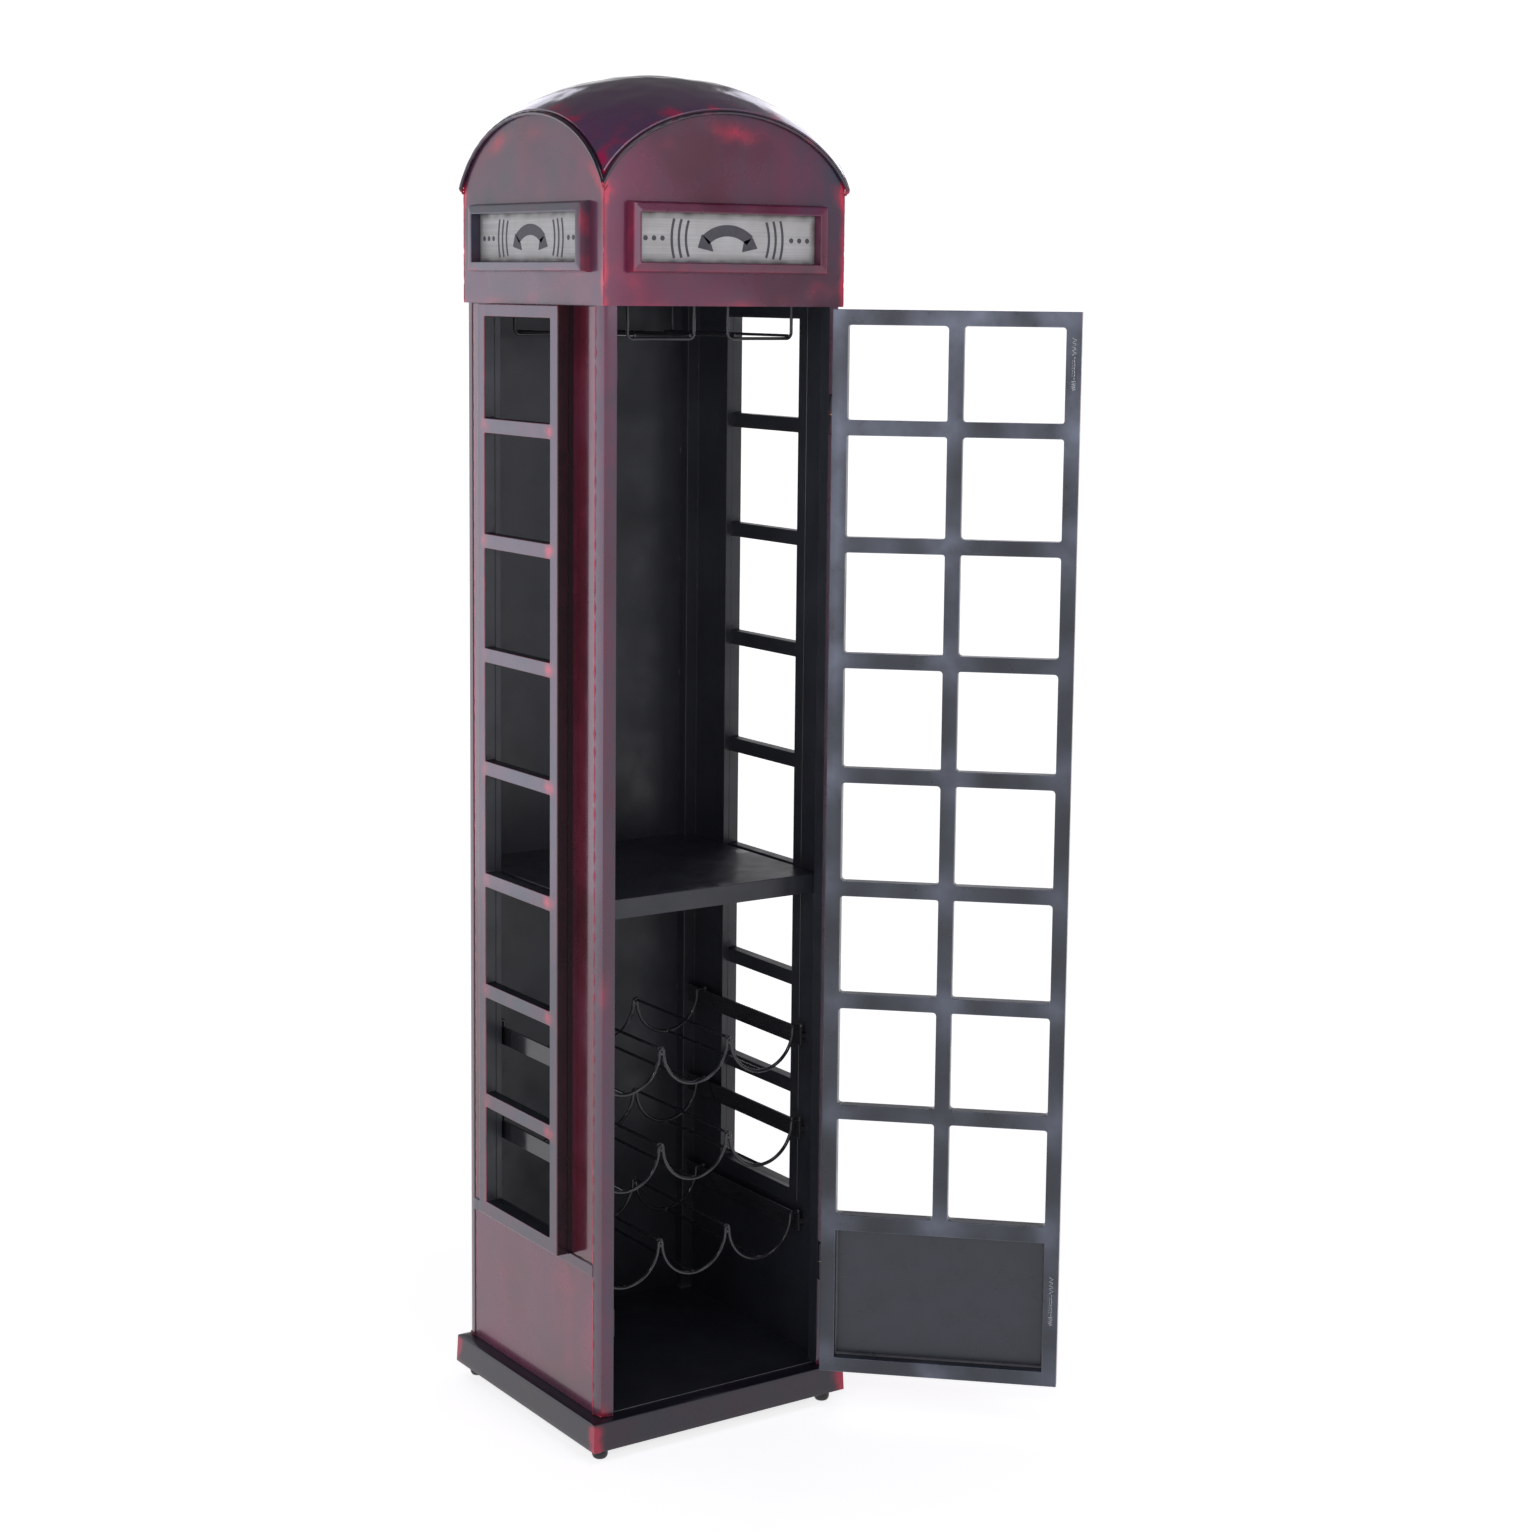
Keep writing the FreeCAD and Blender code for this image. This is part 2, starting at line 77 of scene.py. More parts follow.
MUNTIN_Y = DOOR_Y0 + 2.0  # the door's bars stand back from its rim
HANDLE_X, HANDLE_Z = -160.5, (962.0, 1062.0)
STRIKE_T, CATCH_Z = 1.0, (181.0, 1485.0)
SCREW_X, SCREW_Y = -169.0, -159.0
HINGE_Z, HINGE_HALF = (214.5, 1416.5), 25.0
SIGN_HALF, SIGN_Z0, SIGN_Z1, SIGN_BAR, SIGN_OUT = 155.5, 1605.0, 1698.0, 15.0, 16.0
SHELF_TOP = 768.0
RACK_Y, RACK_Z, RAIL_X = (-127.0, 125.0), (538.0, 400.0, 262.5), 178.5
PITCH, CRADLE_R, CREST_R = 112.0, 53.0, 3.0  # bottle cradles and the crests between them
SIDES = ("front", "right", "rear", "left")
TIERS = ("top", "middle", "bottom")

random.seed(7)


# ---- frames
def turn_z(degrees, centre=(0, 0)):
    c = Vector((*centre, 0))
    return Matrix.Translation(c) @ Matrix.Rotation(radians(degrees), 4, "Z") @ Matrix.Translation(-c)


TO_METRES = Matrix.Scale(0.001, 4) @ Matrix.Translation((0, 0, -GROUND))
HUNG = turn_z(DOOR_REST, DOOR_AXIS)


def rough(p, scale, seed=0.0):
    """Smooth noise from about -1 to 1; scale is its size in millimetres."""
    return noise.noise(Vector((p[0] / scale + seed, p[1] / scale - seed, p[2] / scale + 3 * seed)))


def circle(count):
    return [2 * pi * k / count for k in range(count)]


def near(value, centre, width):
    """1 at the centre, falling to 0 a width away."""
    t = max(0.0, 1 - abs(value - centre) / width)
    return t * t * (3 - 2 * t)


def turned(paint, turn, i):
    """Paint written for the front, for the side i that turn brings it to."""
    back = turn.inverted()
    return lambda p: paint(back @ p, i)


# ---- mesh helpers
def cad_copy(*names, door=False, merged=True):
    """A new mesh with the shape of some CAD nodes, in drawing units; merged joins flat triangles."""
    bm = bmesh.new()
    for n in names:
        bm.from_mesh(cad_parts[n].data)
    m = TO_METRES.inverted()
    bm.transform(HUNG.inverted() @ m if door else m)
    bmesh.ops.remove_doubles(bm, verts=bm.verts, dist=0.02)
    if merged:
        merge_flats(bm)
    return bm


def merge_flats(bm):
    bmesh.ops.dissolve_limit(bm, angle_limit=radians(0.5), verts=bm.verts, edges=bm.edges)


def middle(f):
    return f.calc_center_median()


def soften(bm, width, segments=2, chosen=None, angle=50):
    """Rounds the sharp edges and marks them, so that the finish can wear there."""
    rounded_off = bm.faces.layers.int.get("rounded") or bm.faces.layers.int.new("rounded")
    bmesh.ops.recalc_face_normals(bm, faces=bm.faces)
    bm.normal_update()
    sharp = [e for e in bm.edges if len(e.link_faces) == 2
             and e.calc_face_angle(0) > radians(angle) and (chosen is None or chosen(e))]
    if not sharp:
        return
    made = bmesh.ops.bevel(bm, geom=sharp, offset=width, offset_type="OFFSET", segments=segments,
                           profile=0.5, affect="EDGES", clamp_overlap=True)
    for f in made["faces"]:
        f[rounded_off] = 1


def cut(bm, at, normal):
    bmesh.ops.bisect_plane(bm, geom=bm.verts[:] + bm.edges[:] + bm.faces[:], dist=1e-5,
                           plane_co=at, plane_no=normal)


def cuts(bm, *steps):
    """Divides long faces so that dents and painted wear have points to follow. Each step is an
    axis and the distance between cuts along it."""
    for axis, step in steps:
        low = min(v.co[axis] for v in bm.verts)
        high = max(v.co[axis] for v in bm.verts)
        count = max(1, round((high - low) / step))
        normal = Vector([float(i == axis) for i in range(3)])
        for i in range(1, count):
            cut(bm, normal * (low + (high - low) * i / count), normal)


def shift(bm, move):
    for v in bm.verts:
        v.co += Vector(move(v.co))


def added(name, data):
    thing = bpy.data.objects.new(name, data)
    bpy.context.scene.collection.objects.link(thing)
    return thing


def mesh_object(name, bm, mats):
    mesh = bpy.data.meshes.new(name)
    bm.to_mesh(mesh)
    bm.free()
    for m in mats:
        mesh.materials.append(m)
    return added(name, mesh)


def place(name, bm, body, slot, nodes=(), mats=(), pick=None, paint=None, smooth=35, wear=1.0):
    """Makes the piece and lets it ride its body. paint gives a point's red wear and how smoky its
    glaze is, pick a face's material, wear how much the rounded edges are rubbed, and smooth the
    angle in degrees below which edges are shaded round."""
    layers = bm.verts.layers.float
    for layer in ("hot", "smoke", "edge"):
        layers.new(layer)
    hot, smoke, edge = layers["hot"], layers["smoke"], layers["edge"]
    rounded_off = bm.faces.layers.int.get("rounded")
    bmesh.ops.recalc_face_normals(bm, faces=bm.faces)
    bm.normal_update()
    for v in bm.verts:
        if paint:
            v[hot], v[smoke] = paint(v.co)
        if rounded_off and all(f[rounded_off] for f in v.link_faces):
            v[edge] = wear
    limit = radians(smooth)
    for f in bm.faces:
        # flat faces beside a rounded edge stay flat-shaded, so the rounding alone catches the light
        fold = [e.calc_face_angle(0) for e in f.edges if not rounded_off or f[rounded_off]
                or not any(g[rounded_off] for g in e.link_faces)]
        f.smooth = not rounded_off or any(0.0004 < a < limit for a in fold)
        if pick:
            f.material_index = pick(f)
    for e in bm.edges:
        e.smooth = e.calc_face_angle(0) < limit
    bm.transform(TO_METRES @ HUNG if body == "door" else TO_METRES)
    piece = mesh_object(name, bm, mats)
    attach(piece, body)
    if nodes:
        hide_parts(*nodes)


def lacquered(name, bm, *rest, **options):
    place(name, bm, "cabinet", "lacquer", *rest, **options)


def loft(bm, rings, closed=False):
    """Skins a row of rings of points; closed joins the last ring to the first."""
    made = [[bm.verts.new(p) for p in ring] for ring in rings]
    n = len(made[0])
    for a, b in zip(made, made[1:] + (made[:1] if closed else [])):
        for i in range(n):
            bm.faces.new((a[i], a[(i + 1) % n], b[(i + 1) % n], b[i]))
    if not closed:
        bm.faces.new(made[0][::-1])
        bm.faces.new(made[-1])


def rounded(points, radii, steps=4):
    """A polygon with its corners rounded off."""
    out = []
    for i, (p, r) in enumerate(zip(points, radii)):
        p, a, b = Vector(p), Vector(points[i - 1]), Vector(points[(i + 1) % len(points)])
        u, w = (a - p).normalized(), (b - p).normalized()
        if r <= 0:
            out.append(p)
            continue
        half = u.angle(w) / 2
        reach = r / tan(half)
        centre = p + (u + w).normalized() * (r / sin(half))
        s, e = p + u * reach - centre, p + w * reach - centre
        for k in range(steps + 1):
            out.append(centre + s.slerp(e, k / steps))
    return out


def sweep_rectangle(bm, profile, x0, x1, y0, y1, at):
    """A mitred frame: profile is (inset, height) points, at maps (x, y, height) to space."""
    rings = []
    for sx, sy, x, y in ((1, 1, x0, y0), (-1, 1, x1, y0), (-1, -1, x1, y1), (1, -1, x0, y1)):
        rings.append([at(x + sx * p[0], y + sy * p[0], p[1]) for p in profile])
    loft(bm, rings, closed=True)


def lattice(bm, us, ws, hole, low, high, radius, at, open_at=None):
    """A grid of bars as one plate with round-cornered openings. us and ws are the lines between
    cells, hole gives a cell's opening, low and high are the depths, at maps (u, w, depth) to
    space, and open_at is a height w whose outer edge is left open to join another lattice."""
    steps = 4
    for i in range(len(us) - 1):
        for j in range(len(ws) - 1):
            u0, u1, w0, w1 = hole(i, j)
            corners = [(us[i], ws[j]), (us[i + 1], ws[j]), (us[i + 1], ws[j + 1]), (us[i], ws[j + 1])]
            inner = []
            for k, (u, w, su, sw) in enumerate(((u0, w0, 1, 1), (u1, w0, -1, 1), (u1, w1, -1, -1),
                                                (u0, w1, 1, -1))):
                r = radius * random.uniform(0.75, 1.3)
                arc = [(u + su * r * (1 - cos(t)), w + sw * r * (1 - sin(t)))
                       for t in (radians(90 * s / steps) for s in range(steps + 1))]
                inner.append(arc[::-1] if k % 2 else arc)
            for depth in (low, high):
                outer = [bm.verts.new(at(*c, depth)) for c in corners]
                rim = [[bm.verts.new(at(*c, depth)) for c in arc] for arc in inner]
                for k in range(4):
                    for s in range(steps):
                        bm.faces.new((outer[k], rim[k][s], rim[k][s + 1]))
                    n = (k + 1) % 4
                    bm.faces.new((outer[k], rim[k][-1], rim[n][0], outer[n]))
                if depth == low:
                    first = [v for arc in rim for v in arc]
            second = [v for arc in rim for v in arc]
            for k in range(len(first)):
                n = (k + 1) % len(first)
                bm.faces.new((first[k], first[n], second[n], second[k]))
    rim = [(u, ws[0]) for u in us] + [(us[-1], w) for w in ws[1:]]
    rim += [(u, ws[-1]) for u in us[-2::-1]] + [(us[0], w) for w in ws[-2:0:-1]]
    for k, a in enumerate(rim):
        b = rim[(k + 1) % len(rim)]
        if open_at is None or a[1] != open_at or b[1] != open_at:
            bm.faces.new([bm.verts.new(at(*c, d))
                          for c, d in ((a, low), (b, low), (b, high), (a, high))])
    bmesh.ops.remove_doubles(bm, verts=bm.verts, dist=0.01)


def tube_along(bm, points, radius, sides=10):
    """A round bar through points; radius may be a number or a function of the point's index."""
    points = [Vector(p) for p in points]
    rings, side = [], None
    for i, p in enumerate(points):
        d = (points[min(i + 1, len(points) - 1)] - points[max(i - 1, 0)]).normalized()
        if side is None:
            side = d.cross(Vector((0, 0, 1)) if abs(d.z) < 0.9 else Vector((1, 0, 0))).normalized()
        side = (side - d * side.dot(d)).normalized()
        other = d.cross(side)
        r = radius(i) if callable(radius) else radius
        rings.append([p + (side * cos(a) + other * sin(a)) * r for a in circle(sides)])
    loft(bm, rings)


def bead(bm, a, b, radius, seed=0):
    """A hand-laid weld between two points: overlapping ripples of uneven size."""
    a, b = Vector(a), Vector(b)
    n = max(4, round((b - a).length / (radius * 0.55)))
    points = []
    for i in range(n + 1):
        p = a.lerp(b, i / n)
        points.append(p + Vector((rough(p, 9, seed), rough(p, 9, seed + 5), 0)) * radius * 0.2)

    def size(i):
        end = min(1.0, 0.45 + 0.9 * min(i, n - i) * radius * 0.55 / (radius * 1.2))
        ripple = 0.86 + 0.14 * sin(i * 2.1)
        return radius * end * ripple * (1 + 0.22 * rough(points[i], 11, seed))
    tube_along(bm, points, size, 8)


def blob(bm, centre, radius, seed=0):
    """A small uneven drop of weld."""
    made = bmesh.ops.create_icosphere(bm, subdivisions=2, radius=radius)
    for v in made["verts"]:
        v.co *= 1 + 0.3 * rough(v.co * 3 + Vector(centre), radius * 4, seed)
        v.co += Vector(centre)


def lathe(bm, profile, centre, sides=28):
    """Turns (radius, height) points about the upright line through centre."""
    rings = [[Vector((centre[0] + r * cos(a), centre[1] + r * sin(a), centre[2] + z))
              for a in circle(sides)] for r, z in profile]
    loft(bm, rings)


# ---- materials
class Nodes:
    """Adds nodes to a node tree."""

    def __init__(self, tree):
        self.tree = tree

    def add(self, kind, inputs=(), **settings):
        node = self.tree.nodes.new(kind)
        for key, value in settings.items():
            setattr(node, key, value)
        for key, value in dict(inputs).items():
            if isinstance(value, bpy.types.NodeSocket):
                self.tree.links.new(value, node.inputs[key])
            else:
                node.inputs[key].default_value = value
        return node

    def math(self, operation, a, b=0.0, clamp=False):
        return self.add("ShaderNodeMath", {0: a, 1: b}, operation=operation, use_clamp=clamp).outputs[0]

    def band(self, value, low, high, to_low=0.0, to_high=1.0, **settings):
        stops = {"Value": value, "From Min": low, "From Max": high, "To Min": to_low, "To Max": to_high}
        return self.add("ShaderNodeMapRange", stops, **settings).outputs[0]


class Finish(Nodes):
    """A node material on one Principled shader."""

    def __init__(self, name, **constants):
        self.material = bpy.data.materials.new(name)
        self.material.use_nodes = True
        super().__init__(self.material.node_tree)
        self.shader = self.tree.nodes["Principled BSDF"]
        self.where = self.add("ShaderNodeTexCoord").outputs["Object"]
        for key, value in constants.items():
            self.shader.inputs[key.replace("_", " ")].default_value = value

    def noise(self, scale, detail=4.0, roughness=0.55, stretch=(1, 1, 1)):
        """Noise of this many waves a metre; stretch scales it by axis."""
        mapped = self.add("ShaderNodeMapping", {"Vector": self.where, "Scale": stretch})
        return self.add("ShaderNodeTexNoise", {"Vector": mapped.outputs[0], "Scale": scale,
                                               "Detail": detail, "Roughness": roughness}).outputs["Fac"]

    def attribute(self, name):
        return self.add("ShaderNodeAttribute", attribute_name=name).outputs["Fac"]

    def mix(self, amount, a, b):
        a, b = (c if isinstance(c, bpy.types.NodeSocket) else (*c, 1) for c in (a, b))
        return self.add("ShaderNodeMix", {0: amount, 6: a, 7: b}, data_type="RGBA").outputs[2]

    def set(self, key, value):
        self.tree.links.new(value, self.shader.inputs[key])

    def bump(self, height, strength, distance):
        node = self.add("ShaderNodeBump", {"Height": height, "Strength": strength, "Distance": distance})
        self.set("Normal", node.outputs[0])


def lacquer(name, deep, mid, haze, bias, roughness, glow=(0.50, 0.012, 0.058), coat=0.55,
            coat_roughness=0.10, coat_ior=1.5):
    """Translucent red lacquer, from deep to mid, under a smoky glaze of the colour haze, worn back
    to glow at edges and welds. bias is how thick the glaze is, from 0 to 1."""
    f = Finish(name, Metallic=0.15, Coat_Weight=coat, Coat_Roughness=coat_roughness, Coat_IOR=coat_ior)
    cloud = f.noise(7, 2, 0.45)
    streak = f.noise(26, 2, 0.4, (1, 1, 0.09))
    patch = f.noise(28, 3, 0.5)
    red = f.mix(f.band(cloud, 0.3, 0.7), deep, mid)
    glaze = f.math("ADD", f.attribute("smoke"), f.band(cloud, 0.25, 0.75, bias - 0.25, bias + 0.25))
    glaze = f.math("ADD", glaze, f.band(streak, 0.3, 0.7, -0.12, 0.12))
    glaze = f.math("ADD", glaze, f.band(patch, 0.35, 0.65, -0.1, 0.1), clamp=True)
    colour = f.mix(glaze, red, haze)
    broken = f.band(patch, 0.36, 0.64, -0.30, 0.40)
    worn = f.math("ADD", f.math("MULTIPLY", f.attribute("edge"), 0.42), f.attribute("hot"))
    worn = f.math("MULTIPLY", f.math("ADD", worn, broken), worn, clamp=True)
    colour = f.mix(worn, colour, glow)
    f.set("Base Color", colour)
    f.set("Roughness", f.math("ADD", f.band(patch, 0.3, 0.7, -0.02, 0.02),
                              f.band(cloud, 0.3, 0.7, roughness - 0.03, roughness + 0.05)))
    f.bump(f.math("ADD", cloud, f.math("MULTIPLY", streak, 0.5)), 0.03, 0.0004)
    return f.material


def charcoal(name, dark, pale, roughness, rub_from=0.3, rub_full=1.2):
    """Semi-gloss charcoal paint, rubbed paler at edges and where it is handled; on the door's inner side
    the paler parts are also a painted sheen.
    """
    f = Finish(name, Specular_IOR_Level=0.55)
    cloud = f.noise(9, 5, 0.6)
    scuff = f.noise(30, 3, 0.45)
    rub = f.math("ADD", f.math("MULTIPLY", f.attribute("edge"), 0.35),
                 f.band(f.attribute("hot"), rub_from, rub_full))
    rub = f.math("MULTIPLY", rub, f.band(scuff, 0.15, 0.70, 0.25, 1.0), clamp=True)
    base = f.mix(f.band(cloud, 0.3, 0.7), dark, tuple(1.7 * c for c in dark))
    f.set("Base Color", f.mix(rub, base, pale))
    f.set("Roughness", f.math("ADD", f.band(scuff, 0.3, 0.7, roughness - 0.06, roughness + 0.07),
                              f.math("MULTIPLY", rub, 0.1)))
    f.bump(f.math("ADD", cloud, f.math("MULTIPLY", scuff, 0.4)), 0.03, 0.0004)
    return f.material


RED_DEEP, RED_MID, HAZE = (0.074, 0.006, 0.026), (0.180, 0.012, 0.062), (0.027, 0.029, 0.055)
M_PANEL = lacquer("lacquer_panel", RED_DEEP, RED_MID, HAZE, 0.14, 0.26)
M_STRIP = lacquer("lacquer_strip", (0.055, 0.004, 0.013), (0.135, 0.007, 0.028), HAZE, 0.08, 0.16,
                  coat_roughness=0.05)
M_FRAME = lacquer("lacquer_frame", RED_DEEP, RED_MID, HAZE, 0.76, 0.28)
M_HEAD = lacquer("lacquer_head", RED_DEEP, RED_MID, HAZE, 0.26, 0.28)
M_ROOF = lacquer("lacquer_roof", (0.090, 0.026, 0.092), (0.160, 0.036, 0.145),
                 (0.078, 0.054, 0.106), 0.50, 0.24, (0.36, 0.012, 0.085), 1.0, 0.13, 1.75)
M_LIP = lacquer("lacquer_lip", (0.030, 0.010, 0.022), (0.060, 0.012, 0.036),
                (0.024, 0.020, 0.034), 0.55, 0.22, (0.30, 0.010, 0.050))
M_PLINTH = lacquer("lacquer_plinth", (0.024, 0.006, 0.014), (0.048, 0.007, 0.022),
                   (0.016, 0.015, 0.026), 0.80, 0.30, (0.36, 0.010, 0.048), 0.15)
# near-black lacquer for faces that lie in shade: painted shade on the window boxes' ends and on the dark
# seam lines
M_PAINTED_SHADE = lacquer("lacquer_shadowed", (0.010, 0.002, 0.005), (0.024, 0.003, 0.009),
                  (0.006, 0.004, 0.006), 0.50, 0.26, (0.12, 0.004, 0.016))
M_INSIDE = charcoal("charcoal_inside", (0.0155, 0.0170, 0.0225), (0.06, 0.066, 0.082), 0.38)
# the door's pale blue-grey is also the colour of its painted sheen
M_DOOR = charcoal("charcoal_door", (0.0075, 0.0095, 0.0165), (0.21, 0.24, 0.32), 0.30, 0.0, 1.25)
M_WIRE = charcoal("wire_black", (0.015, 0.015, 0.018), (0.25, 0.25, 0.27), 0.14)
M_RUBBED = charcoal("charcoal_rubbed", (0.11, 0.112, 0.12), (0.36, 0.37, 0.39), 0.30)


def plate_finish():
    """Brushed pale plate, browned and darkened towards its rim."""
    f = Finish("sign_plate_aged", Metallic=0.2, Specular_IOR_Level=0.4)
    cloud, brush = f.noise(14, 5, 0.6), f.noise(40, 4, 0.6, (0.12, 0.12, 14))
    base = f.mix(f.band(cloud, 0.3, 0.7), (0.39, 0.385, 0.375), (0.53, 0.53, 0.54))
    base = f.mix(f.band(brush, 0.3, 0.75, 0.0, 0.35), base, (0.18, 0.17, 0.16))
    base = f.mix(f.math("MULTIPLY", f.attribute("smoke"), f.band(cloud, 0.2, 0.8, 0.7, 1.0), clamp=True),
                 base, (0.05, 0.045, 0.035))
    f.set("Base Color", base)
    f.set("Roughness", f.band(brush, 0.3, 0.7, 0.34, 0.5))
    f.bump(brush, 0.12, 0.0003)
    return f.material


def simple_finish(name, low, high, scale, roughness, bump, **constants):
    """A mottled finish for small parts."""
    f = Finish(name, **constants)
    grain = f.noise(scale, 5, 0.6)
    colour = f.mix(f.band(grain, 0.3, 0.7), low, high)
    colour = f.mix(f.math("MULTIPLY", f.attribute("edge"), f.band(grain, 0.4, 0.6, 0.0, 0.5)),
                   colour, tuple(min(1.0, 2.2 * c) for c in high))
    f.set("Base Color", colour)
    f.set("Roughness", f.band(grain, 0.3, 0.7, roughness - 0.07, roughness + 0.07))
    f.bump(grain, bump, 0.0005)
    return f.material


M_PLATE = plate_finish()
M_FIGURE = simple_finish("figure_slate", (0.045, 0.042, 0.055), (0.075, 0.07, 0.085), 90, 0.5, 0.1)
M_RUBBER = simple_finish("foot_rubber", (0.010, 0.010, 0.011), (0.022, 0.022, 0.024), 300, 0.55, 0.3)
M_STEEL = simple_finish("worn_steel", (0.16, 0.16, 0.17), (0.42, 0.42, 0.44), 160, 0.34, 0.3,
                        Metallic=0.9)
M_BRASS = simple_finish("washer_brass", (0.42, 0.30, 0.11), (0.62, 0.46, 0.19), 160, 0.34, 0.2,
                        Metallic=0.9)
M_CHALK = simple_finish("scratch_pale", (0.42, 0.43, 0.45), (0.75, 0.76, 0.78), 260, 0.5, 0.1)
M_PLASTIC = simple_finish("catch_plastic", (0.012, 0.012, 0.013), (0.02, 0.02, 0.022), 220, 0.45, 0.2)
M_WELD = lacquer("lacquer_weld", (0.12, 0.006, 0.016), (0.34, 0.009, 0.028), HAZE, 0.08, 0.30,
                 coat=0.4)
M_WELD_DARK = charcoal("charcoal_weld", (0.012, 0.012, 0.014), (0.30, 0.31, 0.33), 0.30)


# ---- camera, light and floor
# the photograph's view: the camera's place in metres, its yaw, pitch and roll in degrees
CAMERA_AT, CAMERA_TURN = (-2.04593, -3.29899, 1.53056), (34.2592, 7.4244, 0.6137)
LENS, LENS_SHIFT = 65.185, -0.0781
SEEN_STRENGTH = 1.08  # the white that the camera sees behind the object
FLOOR_RADIUS = 120


def photo_camera():
    yaw, pitch, roll = (radians(a) for a in CAMERA_TURN)
    forward = Vector((sin(yaw) * cos(pitch), cos(yaw) * cos(pitch),
                      -sin(pitch)))
    level = Vector((cos(yaw), -sin(yaw), 0))
    above = level.cross(forward)
    right = level * cos(roll) + above * sin(roll)
    up = above * cos(roll) - level * sin(roll)
    data = bpy.data.cameras.new("camera")
    camera = added("camera", data)
    data.sensor_width = 36.0
    data.lens = LENS
    data.shift_y = LENS_SHIFT
    data.clip_end = 300.0
    camera.matrix_world = Matrix.Translation(CAMERA_AT) @ Matrix(
        (right, up, -forward)).transposed().to_4x4()
    bpy.context.scene.camera = camera


def softbox(name, where, towards, width, height, radiance, colour=(0.97, 0.94, 1.03)):
    """A rectangular lamp whose brightness doesn't depend on its size."""
    data = bpy.data.lights.new(name, "AREA")
    data.shape = "RECTANGLE"
    data.size, data.size_y = width, height
    data.energy = radiance * width * height * pi
    data.color = colour
    lamp = added(name, data)
    lamp.location = where
    lamp.rotation_euler = (Vector(towards) - Vector(where)).to_track_quat("-Z", "Y").to_euler()
    lamp.visible_camera = False


def studio():
    """A white sky, dim overhead and behind the camera, and the lamps."""
    world = bpy.data.worlds.new("studio")
    bpy.context.scene.world = world
    world.use_nodes = True
    sky = Nodes(world.node_tree)
    where = sky.add("ShaderNodeTexCoord").outputs["Generated"]

    def facing(direction, *stops):
        """Strength of the sky by how far it lies in a direction."""
        dot = sky.add("ShaderNodeVectorMath", {0: where, 1: direction}, operation="DOT_PRODUCT")
        return sky.band(dot.outputs["Value"], *stops, interpolation_type="SMOOTHSTEP")

    light = sky.math("MULTIPLY", facing((0.563, 0.826, 0), -0.5, 0.75, 0.35, 1.08),
                     facing((0, 0, 1), 0.10, 0.34, 1.0, 0.11))
    direct = sky.add("ShaderNodeLightPath").outputs["Is Camera Ray"]
    seen = sky.add("ShaderNodeMix", {0: direct, 2: light, 3: SEEN_STRENGTH}).outputs[0]
    background = sky.tree.nodes["Background"]
    sky.tree.links.new(seen, background.inputs["Strength"])
    background.inputs["Color"].default_value = (0.985, 0.985, 1.0, 1)
    softbox("soft_rear_left", (-2.3, 2.5, 0.80), (0, 0, 0.8), 2.2, 1.7, 0.80, (0.90, 0.90, 1.16))
    softbox("soft_front_left", (-3.2, -1.9, 1.9), (0, 0, 0.8), 2.0, 2.2, 1.5)
    softbox("soft_top", (-0.2, -1.7, 3.6), (0, 0, 0.6), 1.6, 1.5, 1.7)
    softbox("rim_left", (0.55, 3.3, 2.65), (0, 0, 1.75), 1.5, 1.7, 1.25, (0.95, 0.94, 1.06))
    softbox("rim_right", (2.55, 1.85, 2.6), (0, 0, 1.75), 1.4, 1.5, 1.25, (0.95, 0.94, 1.06))
    softbox("soft_front", (1.0, -3.1, 2.0), (-0.1, -0.2, 1.6), 1.0, 1.1, 2.5, (0.95, 0.94, 1.08))
    softbox("key", (-2.6, -3.9, 2.7), (0, 0, 0.8), 0.45, 0.45, 26.0, (1.0, 0.98, 1.0))
    bpy.context.scene.view_settings.view_transform = "Standard"


def pale_floor():
    """A white floor, brighter with distance, so that it runs into the background."""
    f = Finish("floor_white", Roughness=0.6, Specular_IOR_Level=0.2, Emission_Color=(1, 1, 1, 1))
    away = f.add("ShaderNodeVectorMath", {0: f.where}, operation="LENGTH").outputs["Value"]
    f.set("Emission Strength", f.band(away, 0.5, 5.0, 0.77, 0.98))
    f.set("Base Color", f.mix(f.noise(3, 2), (0.80, 0.80, 0.81), (0.82, 0.82, 0.83)))
    bm = bmesh.new()
    bmesh.ops.create_circle(bm, cap_ends=True, segments=96, radius=FLOOR_RADIUS)
    bm.transform(Matrix.Translation((0, 0, -GROUND / 1000)))
    mesh_object("floor", bm, [f.material])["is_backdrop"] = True


photo_camera()
studio()
pale_floor()


def outside(direction):
    """Picks material 0 for faces looking along the direction, 1 for the rest."""
    return lambda f: 0 if f.normal.dot(Vector(direction)) > 0.5 else 1


# ---- windows
bottom_rail = BELT_Z1 + WIN_BAR
win_muntin = (PANE_TOP - bottom_rail - ROWS * PANE_H) / (ROWS - 1)
win_rows = [(PANE_TOP - (i + 1) * PANE_H - i * win_muntin, PANE_TOP - i * (PANE_H + win_muntin))
            for i in range(ROWS)][::-1]
clear = WIN_HALF - WIN_BAR
joints = [low - win_muntin / 2 for low, _ in win_rows[1:]]


